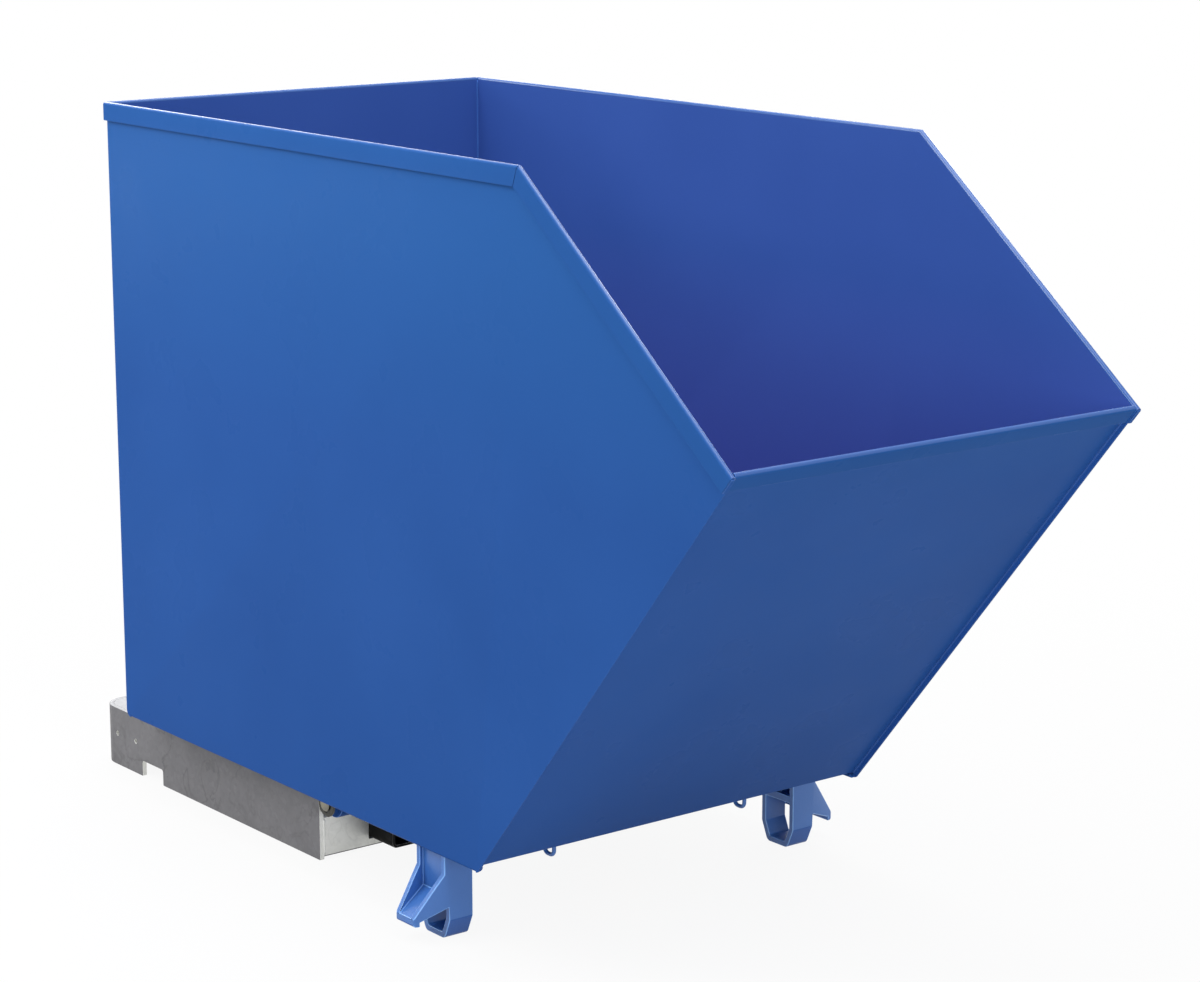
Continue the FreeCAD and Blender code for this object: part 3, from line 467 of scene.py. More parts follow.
floor_top = floor_under + sheet
front_down = unit(front_top, front_base)
floor_corner = meet((0, floor_top), (1, 0), front_inner, climb)
outer_bead, inner_bead, corner_bead, seam_bead = 0.0026, 0.0024, 0.0013, 0.0014
below_band, below_fold, end_gap, seam_gap, band_gap = 0.034, 0.006, 0.012, 0.002, 0.004
flush, seam_flush = 0.0003, 0.0002
runs = []
for x in (-inside, inside):
    under_band = (front_top[0] + front_down[0] * below_band, front_top[1] + front_down[1] * below_band)
    runs.append(([(x, *under_band), (x, *front_base)], outer_bead))
    inner_top = (front_top[0] - front_out[0] * sheet + front_down[0] * below_fold,
                 front_top[1] - front_out[1] * sheet + front_down[1] * below_fold)
    runs.append(([(x, *inner_top), (x, *floor_corner)], inner_bead))
    runs.append(([(x, *floor_corner), (x, back - sheet - floor_fold, floor_top)], inner_bead))
    wall = back - sheet
    runs.append(([(x, wall, floor_top + floor_fold), (x, wall, crown[1] - below_fold)], inner_bead))
    wall = back - flush
    runs.append(([(x, wall, seam[1] + seam_gap), (x, wall, crown[1] - rim_band - band_gap)], corner_bead))
runs.append(([(-inside, *floor_corner), (inside, *floor_corner)], inner_bead))
under_corner = meet((0, floor_under), (1, 0), front_inner, climb)
runs.append(([(-inside + end_gap, *under_corner), (inside - end_gap, *under_corner)], inner_bead))
wall = back - seam_flush
runs.append(([(-inside, wall, seam[1]), (inside, wall, seam[1])], seam_bead))
blue_weld = blue_coat("blue_coat_on_welds", (0.030, 0.095, 0.33), (0.036, 0.110, 0.37), 0.33, 0.0001, 0.1)
welds("bin_seams", runs, "bin", "blue_paint", blue_weld)

# Lugs of the pivot: 45 mm steel blocks, flame cut with a round end and bored for the pin, each with a short
# turned boss that runs up to the bush. They are welded under the floor and painted with the bin.


def softened(node, name, width, body, slot, finishes, segments=2):
    """A solid piece as it is drawn, with its sharp edges broken by grinding."""
    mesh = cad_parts[node].data.copy()
    mesh.name = name
    mesh.materials.clear()
    if "custom_normal" in mesh.attributes:
        mesh.attributes.remove(mesh.attributes["custom_normal"])
    work = bmesh.new()
    work.from_mesh(mesh)
    bmesh.ops.remove_doubles(work, verts=work.verts, dist=0.000005)
    bmesh.ops.dissolve_limit(work, angle_limit=radians(0.6), verts=work.verts, edges=work.edges)
    work.to_mesh(mesh)
    work.free()
    mesh.shade_smooth()
    made = piece(name, mesh, body, slot, finishes, node)
    edged(made, width, segments)
    return made


def rectangle(x0, x1, y0, y1, z):
    """Corners of a level rectangle, for a bead that goes round it."""
    return [(x0, y0, z), (x1, y0, z), (x1, y1, z), (x0, y1, z)]


def crisp(name, work, angle):
    """Closed mesh from the faces gathered so far, smooth except at edges sharper than an angle in degrees."""
    bmesh.ops.recalc_face_normals(work, faces=work.faces)
    mesh = smooth_mesh(name, work)
    mesh.set_sharp_from_angle(angle=radians(angle))
    return mesh


def turned(profile, centre, steps=48, ring=False):
    """Mesh of a turned piece on an axis along X through (y, z), from (x, radius) pairs."""
    work = bmesh.new()
    rings = []
    spin = [2 * pi * k / steps for k in range(steps)]
    for x, radius in profile:
        rings.append([work.verts.new((x, centre[0] + radius * cos(a), centre[1] + radius * sin(a))) for a in spin])
    pairs = list(zip(rings, rings[1:])) + ([(rings[-1], rings[0])] if ring else [])
    for low, high in pairs:
        for k in range(steps):
            work.faces.new((low[k - 1], low[k], high[k], high[k - 1]))
    if not ring:
        work.faces.new(rings[0])
        work.faces.new(rings[-1][::-1])
    return crisp("turned", work, 34)


pivot = (back - 0.528, 0.101)
lug_edge, lug_bead, bead_sink = 0.0012, 0.0028, 0.0005
boss_near, boss_far, boss_radius, boss_bore, boss_edge = 0.3005, 0.3108, 0.0195, 0.0136, 0.0008
runs = []
for side, sign in hands:
    softened("pivot_lug_" + side, "lug_" + side, lug_edge, "bin", "blue_paint", [blue, blue_edge])
    low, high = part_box("pivot_lug_" + side)
    runs.append((rectangle(low[0], high[0], low[1], high[1], floor_under - bead_sink), lug_bead, True))
welds("lug_welds", runs, "bin", "blue_paint", blue_weld)
boss = [(boss_near, boss_bore), (boss_near, boss_radius), (boss_far - boss_edge, boss_radius),
        (boss_far, boss_radius - boss_edge), (boss_far, boss_bore)]
for side, sign in hands:
    profile = [(sign * x, radius) for x, radius in boss]
    piece("lug_boss_" + side, turned(profile, pivot, 56, True), "bin", "blue_paint", [blue])

# Cast feet: grey iron loops that stand on the ground, each with a claw that hooks over the rim of the
# skip below in a stack. Sand cast with rounded edges, and welded under the floor. Their coat is lighter
# than the bin's, partly a tone of its own and partly painted light for the shade under the floor. The
# rounded edges carry a pale painted highlight, and faces that look down a darker painted shade.
cast = blue_coat("blue_coat_on_casting", (0.043, 0.143, 0.425), (0.056, 0.167, 0.475), 0.34, 0.0002, 0.52)
cast_in_painted_shade = blue_coat("painted_shade_under_casting", (0.028, 0.100, 0.35), (0.036, 0.118, 0.39), 0.34, 0.0002, 0.2)
# Painted highlight: the rounded edges take a much paler copy of the coat, drawn as thin bright lines.
cast_edge = blue_coat("painted_highlight_on_cast_edges", (0.15, 0.34, 0.72), (0.22, 0.42, 0.80), 0.25, 0.0002, 0.5)
for coat in (cast, cast_in_painted_shade, cast_edge):
    tree = coat.node_tree
    shader = tree.nodes["Principled BSDF"]
    smooth_relief = shader.inputs["Normal"].links[0].from_socket
    sand = raised(tree, grain(tree, 210, 4.0), 0.0002, smooth_relief)
    tree.links.new(sand, shader.inputs["Normal"])
edge_rounding, claw_tip, claw_trim = 0.0013, 0.4165, 0.0002
stem_near, stem_far, foot_bead = 0.319, 0.362, 0.0032
runs = []
for side, sign in hands:
    made = softened("foot_" + side, "cast_foot_" + side, edge_rounding, "bin", "blue_paint",
                    [cast, cast_in_painted_shade, cast_edge])
    made.modifiers["rounded_edges"].use_clamp_overlap = False
    for point in made.data.vertices:
        if abs(point.co.x) > claw_tip:
            point.co.x -= sign * claw_trim
    # Painted shade: faces that look down take the darker copy of the casting coat.
    for face in made.data.polygons:
        face.material_index = 1 if face.normal.z < -0.1 else 0
    low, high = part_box("foot_" + side)
    x0, x1 = sorted((sign * stem_near, sign * stem_far))
    runs.append((rectangle(x0, x1, low[1], high[1], floor_under - bead_sink), foot_bead, True))
welds("foot_welds", runs, "bin", "blue_paint", blue_weld)

# Eyes under the floor: round steel bar bent to a U and welded on end, to hold a safety chain. Painted
# with the bin, but drawn in the lighter coat of the feet: painted light for the shade under the floor.
eye_spread, eye_forward, eye_length, eye_drop = 0.378, 0.955, 0.030, 0.052
bar_across, bar_along, eye_bend, bar_sides = 0.0068, 0.0064, 0.0090, 16
eye_bead, bead_across, bead_along, bead_points, thin_sink = 0.0022, 0.0038, 0.0036, 12, 0.0004
bar_spin = [2 * pi * n / bar_sides for n in range(bar_sides)]
bead_spin = [2 * pi * n / bead_points for n in range(bead_points)]
runs = []
for side, sign in hands:
    x, y = sign * eye_spread / 2, back - eye_forward
    reach = eye_length / 2 - bar_along / 2
    bottom = floor_under - eye_drop + bar_along / 2 + eye_bend
    line = [(y + reach, floor_under)] + arc((y + reach - eye_bend, bottom), eye_bend, 0, -90, 8)
    line += arc((y - reach + eye_bend, bottom), eye_bend, -90, -180, 8) + [(y - reach, floor_under)]
    rings = []
    for k, (v, w) in enumerate(line):
        along = unit(line[max(k - 1, 0)], line[min(k + 1, len(line) - 1)])
        ring = []
        for a in bar_spin:
            u, o = bar_across / 2 * cos(a), bar_along / 2 * sin(a)
            ring.append((x + u, v - along[1] * o, w + along[0] * o))
        rings.append(ring + ring[:1])
    work = bmesh.new()
    strip(work, rings)
    mesh = built("chain_eye_" + side, work)
    # The eyes take the lighter casting coat: painted light for the shade they sit in.
    piece("chain_eye_" + side, mesh, "bin", "blue_paint", [cast], "floor_eye_" + side)
    for end in (y + reach, y - reach):
        ring = [(x + bead_across * cos(a), end + bead_along * sin(a), floor_under - thin_sink) for a in bead_spin]
        runs.append((ring, eye_bead, True))
welds("eye_welds", runs, "bin", "blue_paint", blue_weld)

# Rest channel: 3 mm steel folded to a U across the rear of the floor, welded on, which comes down on the
# rubber pads of the chassis.
softened("rest_channel", "rest_channel_piece", cut_edge, "bin", "blue_paint", [blue, blue_edge])
low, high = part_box("rest_channel")
z = floor_under - thin_sink
runs = [([(low[0], y, z), (high[0], y, z)], inner_bead) for y in (low[1], high[1])]
welds("channel_welds", runs, "bin", "blue_paint", blue_weld)

# Striker: a welded bracket on the back wall with two cheeks, and a zinc plated steel bar pressed through
# them that the latch hook catches.
striker_edge = 0.0009
softened("striker_bracket", "striker_cheeks", striker_edge, "bin", "blue_paint", [blue, blue_edge])
low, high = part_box("striker_bracket")
edge = [(low[0], back, low[2]), (high[0], back, low[2]), (high[0], back, high[2]), (low[0], back, high[2])]
welds("striker_welds", [(edge, inner_bead, True)], "bin", "blue_paint", blue_weld)


def zinc(name, colour, tint, roughness):
    """Zinc plate: thin, slightly iridescent in patches, with fine turning marks and dull finger marks."""
    material, tree, shader = finish(name, colour, roughness, metallic=0.9)
    patches = ranged(tree, grain(tree, 45, 3.0, (1, 1, 1), 0.8), 0.35, 0.68)
    marks = ranged(tree, grain(tree, 120, 5.0), 0.35, 0.7, roughness - 0.07, roughness + 0.14)
    turning = raised(tree, grain(tree, 90, 2.0, (14, 1, 1)), 0.00008)
    joined(tree, shader, blended(tree, patches, colour, tint), marks, turning)
    return material


bright_zinc = zinc("bright_zinc", (0.62, 0.62, 0.60), (0.56, 0.53, 0.43), 0.30)
low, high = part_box("striker_bar")
striker, rod_radius, rod_edge = (back + 0.040, 0.185), 0.008, 0.0014
rod_ring, rod_bead, ring_points = 0.0086, 0.0014, 16
profile = [(low[0], rod_radius - rod_edge), (low[0] + rod_edge, rod_radius), (high[0] - rod_edge, rod_radius),
           (high[0], rod_radius - rod_edge)]
piece("striker_rod", turned(profile, striker), "bin", "zinc_plate", [bright_zinc], "striker_bar")
runs = []
spin = [2 * pi * k / ring_points for k in range(ring_points)]
for x in (low[0] + seam_flush, high[0] - seam_flush):
    ring = [(x, striker[0] + rod_ring * cos(a), striker[1] + rod_ring * sin(a)) for a in spin]
    runs.append((ring, rod_bead, True))
welds("striker_rod_welds", runs, "bin", "blue_paint", blue_weld)

# Side plates of the chassis: 8 mm plate, laser cut with the stacking notch, two fixing holes and the seat
# of the pivot bush, then hot-dip galvanised, which leaves a dull skin with crystals and creases.
plate_x, plate_thick, plate_edge = 0.315, 0.008, 0.0005
plate_front, plate_rear, plate_top = back - 0.509, back + 0.159, 0.104
notch_front, notch_rear, notch_top = back + 0.0235 - 0.035, back + 0.0235 + 0.035, 0.028
hole_radius, seat_radius, seat_edge = 0.0045, 0.0221, 0.0219
holes = [(back + 0.112 - 0.03175, 0.058), (back + 0.112 + 0.03175, 0.058)]


def galvanised(name, dull, bright, roughness, metallic, veins):
    """Hot-dip zinc: crystals a few millimetres wide, cloudy patches, and darker creases in the skin."""
    material, tree, shader = finish(name, dull, roughness, metallic)
    place = tree.nodes.new("ShaderNodeTexCoord")
    crystals = tree.nodes.new("ShaderNodeTexVoronoi")
    crystals.inputs["Scale"].default_value = 150
    tree.links.new(place.outputs["Object"], crystals.inputs["Vector"])
    tone = tree.nodes.new("ShaderNodeSeparateColor")
    tree.links.new(crystals.outputs["Color"], tone.inputs["Color"])
    spangle = ranged(tree, tone.outputs["Red"], 0, 1, 0.25, 0.75)
    colour = blended(tree, spangle, dull, bright)
    clouds = ranged(tree, grain(tree, 7, 4.0, (1, 1, 1), 0.6), 0.35, 0.7, 0.0, 0.7)
    colour = blended(tree, clouds, colour, tuple(0.80 * part for part in dull))
    crease = tree.nodes.new("ShaderNodeMath")
    crease.operation = "PINGPONG"
    crease.inputs[1].default_value = 0.5
    tree.links.new(ranged(tree, grain(tree, 12, 4.0, (1, 1, 1), 0.6), 0.0, 1.0, 0.0, 4.0), crease.inputs[0])
    thin = ranged(tree, crease.outputs[0], 0.0, 0.10, veins, 0.0)
    patchy = tree.nodes.new("ShaderNodeMath")
    patchy.operation = "MULTIPLY"
    tree.links.new(thin, patchy.inputs[0])
    tree.links.new(ranged(tree, grain(tree, 5, 2.0), 0.42, 0.60), patchy.inputs[1])
    colour = blended(tree, patchy.outputs[0], colour, tuple(0.42 * part for part in dull))
    gloss = ranged(tree, tone.outputs["Green"], 0, 1, roughness - 0.06, roughness + 0.08)
    relief = raised(tree, tone.outputs["Blue"], 0.00004, raised(tree, grain(tree, 30, 3.0), 0.0002))
    joined(tree, shader, colour, gloss, relief)
    return material


# One galvanised skin in three copies. The dull one is the darkest. The other two are lighter copies of the same zinc
# and are painted light: the brightest copy goes on the front beam and on the plates' cut edges, and the middle copy
# on faces that look up, the deck, the smaller galvanised parts and most welds.
dull_zinc = galvanised("dull_galvanised", (0.150, 0.148, 0.158), (0.184, 0.182, 0.191), 0.55, 0.3, 0.48)
zinc_in_painted_light = galvanised("galvanised_in_painted_light", (0.76, 0.765, 0.725), (0.86, 0.865, 0.825), 0.42, 0.5, 0.2)
zinc_in_painted_half_light = galvanised("galvanised_in_painted_half_light", (0.42, 0.42, 0.425), (0.50, 0.50, 0.505), 0.5, 0.3, 0.3)


def flat_plate(name, outlines, x0, x1, edge):
    """Mesh of a flat cut plate across X, from (y, z) outlines: the first is its edge, the others holes."""
    curve = bpy.data.curves.new(name, "CURVE")
    curve.dimensions = "2D"
    curve.fill_mode = "BOTH"
    curve.extrude = (x1 - x0) / 2 - edge
    curve.bevel_depth = edge
    curve.bevel_resolution = 1
    curve.offset = -edge
    for outline in outlines:
        line = curve.splines.new("POLY")
        line.points.add(len(outline) - 1)
        line.use_cyclic_u = True
        for point, (y, z) in zip(line.points, outline):
            point.co = (y, z, 0, 1)
    drawn = bpy.data.objects.new(name, curve)
    bpy.context.scene.collection.objects.link(drawn)
    mesh = bpy.data.meshes.new_from_object(drawn.evaluated_get(bpy.context.evaluated_depsgraph_get()))
    bpy.data.objects.remove(drawn)
    bpy.data.curves.remove(curve)
    work = bmesh.new()
    work.from_mesh(mesh)
    for vertex in work.verts:
        y, z, x = vertex.co
        vertex.co = ((x0 + x1) / 2 + x, y, z)
    bmesh.ops.remove_doubles(work, verts=work.verts, dist=0.000002)
    bmesh.ops.recalc_face_normals(work, faces=work.faces)
    work.to_mesh(mesh)
    work.free()
    mesh.name = name
    mesh.shade_smooth()
    return mesh


def evened(made):
    """Let the large flat faces of a plate lead the shading of its rounded edges."""
    even = made.modifiers.new("flat_faces", "WEIGHTED_NORMAL")
    even.weight = 80


outline = rounded([(plate_front, 0), (notch_front, 0), (notch_front, notch_top), (notch_rear, notch_top),
                   (notch_rear, 0), (plate_rear, 0), (plate_rear, plate_top), (pivot[0] + seat_edge, plate_top)],
                  [0.0015, 0.002, 0.005, 0.005, 0.002, 0, 0, 0])
seat = arc(pivot, seat_radius, 8, -86, 24)
seat = [point for point in seat if point[0] > plate_front and point[1] < plate_top]
outline += seat + [(plate_front, seat[-1][1])]
cuts = [outline] + [arc(hole, hole_radius, 0, 345, 23) for hole in holes]
for side, sign in hands:
    x0, x1 = sorted((sign * plate_x, sign * (plate_x - plate_thick)))
    mesh = flat_plate("side_plate_" + side, cuts, x0, x1, plate_edge)
    made = piece("side_plate_" + side, mesh, "chassis", "galvanised", [dull_zinc, zinc_in_painted_light, zinc_in_painted_half_light],
                 "chassis_side_" + side)
    # Painted light: cut edges round the holes and those that do not face up take the brightest zinc copy, and the
    # up-facing edges take the middle one.
    for face in mesh.polygons:
        if abs(face.normal.x) < 0.9:
            reach = min(hypot(face.center.y - hole[0], face.center.z - hole[1]) for hole in holes)
            face.material_index = 1 if reach < hole_radius + 0.001 or face.normal.z < 0.7 else 2
    evened(made)

# Rear plate and deck of the chassis: 8 mm plate bent forward round both corners and butt welded to the
# side plates, and a 6 mm deck plate let in between them. Galvanised after welding.
rear_edge, deck_bead = 0.0008, 0.0022
inner = plate_x - plate_thick
deck_front, deck_rear, deck_level, corner_gap = back - 0.088, back + 0.193, plate_top - 0.0012, 0.034
made = softened("chassis_rear_plate", "rear_plate", rear_edge, "chassis", "galvanised",
                [dull_zinc, zinc_in_painted_half_light, dull_zinc])
# Painted light: faces of the rear plate that look up take the middle, lighter zinc copy.
for face in made.data.polygons:
    face.material_index = 1 if face.normal.z > 0.7 else 0
# The deck takes the middle, lighter zinc copy: painted light on a face that looks up.
softened("chassis_deck", "deck_plate", rear_edge, "chassis", "galvanised", [zinc_in_painted_half_light])
runs = []
for x in (-inner, inner):
    runs.append(([(x, plate_rear, 0.004), (x, plate_rear, plate_top - 0.010)], deck_bead))
    runs.append(([(x, deck_front, deck_level), (x, plate_rear, deck_level)], deck_bead))
runs.append(([(corner_gap - inner, deck_rear, deck_level), (inner - corner_gap, deck_rear, deck_level)], deck_bead))
welds("chassis_welds", runs, "chassis", "galvanised", zinc_in_painted_half_light)

# Front beam of the chassis: a channel folded from 6 mm plate, open to the rear, cut from above to seat
# the fork pockets and welded between the side plates. Galvanised.
beam_edge, bead_gap = 0.0007, 0.004
# Painted light and shade: the beam takes the brightest zinc copy, which lights it in the shade under the bin, and its
# faces that look down take the dull one, a painted dark line along its lower fold.
made = softened("front_beam", "beam_channel", beam_edge, "chassis", "galvanised", [zinc_in_painted_light, dull_zinc, zinc_in_painted_light])
for face in made.data.polygons:
    face.material_index = 1 if face.normal.z < -0.3 else 0
beam_low, beam_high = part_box("front_beam")
runs = []
for side, sign in hands:
    x, y = sign * inner * 0.9985, beam_low[1] + 0.001
    runs.append(([(x, y, beam_low[2] + bead_gap), (x, y, beam_high[2] - bead_gap)], inner_bead))
welds("beam_welds", runs, "chassis", "galvanised", zinc_in_painted_light)

# Fork pockets: rectangular steel tube with a 5 mm wall, open at both ends, painted matt black. The paint
# is rubbed through along the mouths where the forks go in.
black, tree, shader = finish("matt_black_paint", (0.010, 0.010, 0.0095), 0.5, specular=0.04)
scuffs = ranged(tree, grain(tree, 60, 6.0, (1, 0.25, 1), 1.0), 0.60, 0.72, 0.0, 0.35)
shade = blended(tree, ranged(tree, grain(tree, 6), 0.3, 0.7), (0.0075, 0.0075, 0.007), (0.012, 0.012, 0.0115))
joined(tree, shader, blended(tree, scuffs, shade, (0.06, 0.058, 0.055)),
       ranged(tree, grain(tree, 40, 5.0), 0.3, 0.7, 0.42, 0.62), raised(tree, grain(tree, 420, 2.0), 0.00008))
bare, tree, shader = finish("rubbed_mouth_edges", (0.10, 0.10, 0.10), 0.45, 0.4)
chips = ranged(tree, grain(tree, 110, 5.0), 0.5, 0.62)
joined(tree, shader, blended(tree, chips, (0.014, 0.014, 0.0135), (0.17, 0.165, 0.16)),
       ranged(tree, grain(tree, 200, 3.0), 0.3, 0.7, 0.35, 0.6))
wall, bend, mouth_edge = 0.005, 0.0055, 0.0009
for side, sign in hands:
    (x0, y0, z0), (x1, y1, z1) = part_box("fork_pocket_" + side)
    x0, x1, z0, z1 = x0 + wall / 2, x1 - wall / 2, z0 + wall / 2, z1 - wall / 2
    mids = rounded([(x0, z0), (x1, z0), (x1, z1), (x0, z1)], [bend] * 4)
    mids.append(mids[0])
    work = bmesh.new()
    strip(work, [[(x, y0, z), (x, y1, z)] for x, z in mids])
    made = piece("fork_tube_" + side, built("fork_tube_" + side, work), "chassis", "black_paint", [black, bare],
                 "fork_pocket_" + side)
    thickened(made, wall)
    edged(made, mouth_edge)

# Pivot seats of the chassis: a turned steel bush let into each side plate, and an ear on the front beam
# that carries the inner end of the pin. Both are welded in place.
# The bush steel is very dark.
steel = zinc("dark_bush_steel", (0.075, 0.074, 0.066), (0.045, 0.045, 0.040), 0.36)
bush = [(0.301, 0.0101), (0.301, 0.0132), (0.3112, 0.0132), (0.3112, 0.022), (0.3141, 0.022), (0.315, 0.0211),
        (0.315, 0.0150), (0.3142, 0.0142), (0.3142, 0.0101)]
ear_edge, ear_bead, seat_bead, bead_ring, bead_x = 0.001, 0.0026, 0.0018, 0.0224, 0.3068
for side, sign in hands:
    profile = [(sign * x, radius) for x, radius in bush]
    made = piece("pivot_bush_" + side, turned(profile, pivot, 64, True), "chassis", "zinc_plate", [steel])
    if side == "left":
        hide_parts("pivot_bushes")
    # The ear takes the middle, lighter zinc copy: painted light.
    softened("pivot_ear_" + side, "pin_ear_" + side, ear_edge, "chassis", "galvanised", [zinc_in_painted_half_light])
runs = []
for side, sign in hands:
    runs.append(([(sign * bead_x, *point) for point in arc(pivot, bead_ring, -78, 6, 14)], seat_bead))
    low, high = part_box("pivot_ear_" + side)
    edge = rectangle(low[0], high[0], beam_low[1] + 0.004, beam_high[1], beam_high[2] + 0.0003)
    runs.append((edge, ear_bead, True))
welds("pivot_welds", runs, "chassis", "galvanised", zinc_in_painted_half_light)

# Pivot pins: 20 mm turned steel with a low domed head, zinc plated and worn grey. A washer and a slotted
# spring pin hold each one behind its ear.
worn_zinc = zinc("worn_zinc", (0.34, 0.31, 0.22), (0.20, 0.19, 0.16), 0.30)
ear_inner, washer_thick, clip_radius, clip_wall, clip_edge = 0.242, 0.003, 0.00198, 0.0006, 0.0008
washer = [(-0.0015, 0.0102), (-0.0015, 0.0163), (-0.0009, 0.0169), (0.0009, 0.0169), (0.0015, 0.0163),
          (0.0015, 0.0102)]
clip_low, clip_high = (corner[2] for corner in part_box("pin_clips"))
clip = [(clip_low, 0.0015), (clip_low + clip_edge, clip_radius), (clip_high - clip_edge, clip_radius),
        (clip_high, 0.0015)]
for side, sign in hands:
    tail, head = sorted(abs(corner[0]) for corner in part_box("pivot_pin_" + side))
    pin = [(tail, 0.0082), (tail + 0.0016, 0.0099), (0.3149, 0.0099), (0.3150, 0.0122), (head - 0.0012, 0.0125),
           (head - 0.0004, 0.0115), (head, 0.009), (head, 0.0042), (head - 0.0009, 0.0012)]
    profile = [(sign * x, radius) for x, radius in pin]
    piece("pin_" + side, turned(profile, pivot, 56), "chassis", "zinc_plate", [worn_zinc], "pivot_pin_" + side)
    profile = [(sign * (ear_inner - washer_thick / 2) + x, radius) for x, radius in washer]
    made = piece("pin_washer_" + side, turned(profile, pivot, 48, True), "chassis", "zinc_plate", [bright_zinc])
    if side == "left":
        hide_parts("pin_washers")
    x = sign * (ear_inner - washer_thick - 0.002)
    work = bmesh.new()
    strip(work, [[(*point, z) for point in arc((x, pivot[0]), radius, 15, 345, 15)] for z, radius in clip])
    made = piece("spring_pin_" + side, built("spring_pin_" + side, work), "chassis", "zinc_plate", [bright_zinc])
    rolled = made.modifiers.new("rolled_wall", "SOLIDIFY")
    rolled.thickness = clip_wall
    rolled.offset = -1.0
    if side == "left":
        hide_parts("pin_clips")

# Rest pads: moulded black rubber blocks bonded to the deck, that take the bin's channel without a bang when
# it comes down.
rubber, tree, shader = finish("black_rubber", (0.014, 0.014, 0.014), 0.75, specular=0.3)
bloom = ranged(tree, grain(tree, 25, 5.0), 0.4, 0.75)
joined(tree, shader, blended(tree, bloom, (0.011, 0.011, 0.011), (0.03, 0.03, 0.031)),
       ranged(tree, grain(tree, 70, 4.0), 0.3, 0.7, 0.66, 0.86), raised(tree, grain(tree, 900, 2.0), 0.00012))
pad_edge = 0.0015
for side, sign in hands:
    softened("rest_pad_" + side, "rubber_pad_" + side, pad_edge, "chassis", "rubber_pad", [rubber], 3)

# Latch bracket: a base plate and two cheeks of 8 mm plate, welded to each other and to the deck, with a
# stop pin between the cheeks that the open lever leans on. Galvanised.
bracket_edge, base_bead, cheek_bead, cheek_out, stop_radius = 0.0009, 0.0028, 0.0024, 0.0146, 0.0049
cheek_gap, base_top, base_foot = 0.012, 0.0064, 0.0006
# The bracket takes the middle, lighter zinc copy: painted light.
softened("latch_bracket", "latch_cheeks", bracket_edge, "chassis", "galvanised", [zinc_in_painted_half_light])
(x0, y0, z0), (x1, y1, z1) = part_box("latch_bracket")
runs = [(rectangle(x0, x1, y0, y1, z0 + base_foot), base_bead, True)]
for x in (cheek_out, -cheek_out):
    runs.append(([(x, y0 + cheek_gap, z0 + base_top), (x, y1 - cheek_gap, z0 + base_top)], cheek_bead))
welds("latch_welds", runs, "chassis", "galvanised", zinc_in_painted_half_light)
low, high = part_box("latch_stop_pin")
stop = ((low[1] + high[1]) / 2, (low[2] + high[2]) / 2)
profile = [(low[0], stop_radius), (high[0], stop_radius)]
piece("stop_pin", turned(profile, stop, 32), "chassis", "zinc_plate", [bright_zinc], "latch_stop_pin")

# Latch lever: hook and hand lever cut from one 12 mm plate and galvanised, with a ribbed black plastic
# grip pushed over its end.
latch, lever, hook_edge = (back + 0.072, 0.137), radians(54.68), 0.0011
# Painted highlight: the hook's rounded edges take the middle, lighter zinc copy.
softened("latch_hook", "hook_lever", hook_edge, "latch", "galvanised", [dull_zinc, zinc_in_painted_half_light])
plastic, tree, shader = finish("black_grip_plastic", (0.018, 0.018, 0.019), 0.48)
wiped = ranged(tree, grain(tree, 30, 4.0), 0.4, 0.7)
joined(tree, shader, blended(tree, wiped, (0.014, 0.014, 0.015), (0.026, 0.026, 0.027)),
       ranged(tree, grain(tree, 80, 3.0), 0.3, 0.7, 0.40, 0.58), raised(tree, grain(tree, 1100, 1.0), 0.00008))
grip_ribs, rib_pitch, first_rib = 9, 0.0075, 0.1085
rib = [(0, 0.0150), (0.0012, 0.0163), (0.003, 0.0168), (0.0048, 0.0163), (0.006, 0.0150)]
profile = [(0.100, 0.0105), (0.1002, 0.0150), (0.1018, 0.0167), (0.1055, 0.0169), (0.1075, 0.0160)]
for k in range(grip_ribs):
    profile += [(first_rib + k * rib_pitch + along, radius) for along, radius in rib]
profile += [(0.1775, 0.0160), (0.1800, 0.0166), (0.1900, 0.0166)]
profile += arc((0.1900, 0.0067), 0.0099, 75, 0, 5)
mesh = turned(profile, (0, 0), 48)
for vertex in mesh.vertices:
    along, u, v = vertex.co
    vertex.co = (u, latch[0] + along * cos(lever) - v * sin(lever), latch[1] + along * sin(lever) + v * cos(lever))
piece("hand_grip", mesh, "latch", "grip_plastic", [plastic], "lever_grip")

# Latch bolt: an M16 hexagon bolt and nut that the hook turns on between the cheeks. The bolt is bright zinc
# plated, the nut yellow.


def hexagon(profile, across, centre, steps=72):
    """Mesh of a bolt along X: each (x, radius, six) is a round ring, or one limited to a hexagon."""
    work = bmesh.new()
    rings = []
    for x, radius, six in profile:
        ring = []
        for k in range(steps):
            a = 2 * pi * k / steps
            flat = across / 2 / cos((a + pi / 6) % (pi / 3) - pi / 6)
            r = min(radius, flat) if six else radius
            ring.append(work.verts.new((x, centre[0] + r * cos(a), centre[1] + r * sin(a))))
        rings.append(ring)
    for low, high in zip(rings, rings[1:]):
        for k in range(steps):
            work.faces.new((low[k - 1], low[k], high[k], high[k - 1]))
    work.faces.new(rings[0])
    work.faces.new(rings[-1][::-1])
    return crisp("hexagon", work, 30)


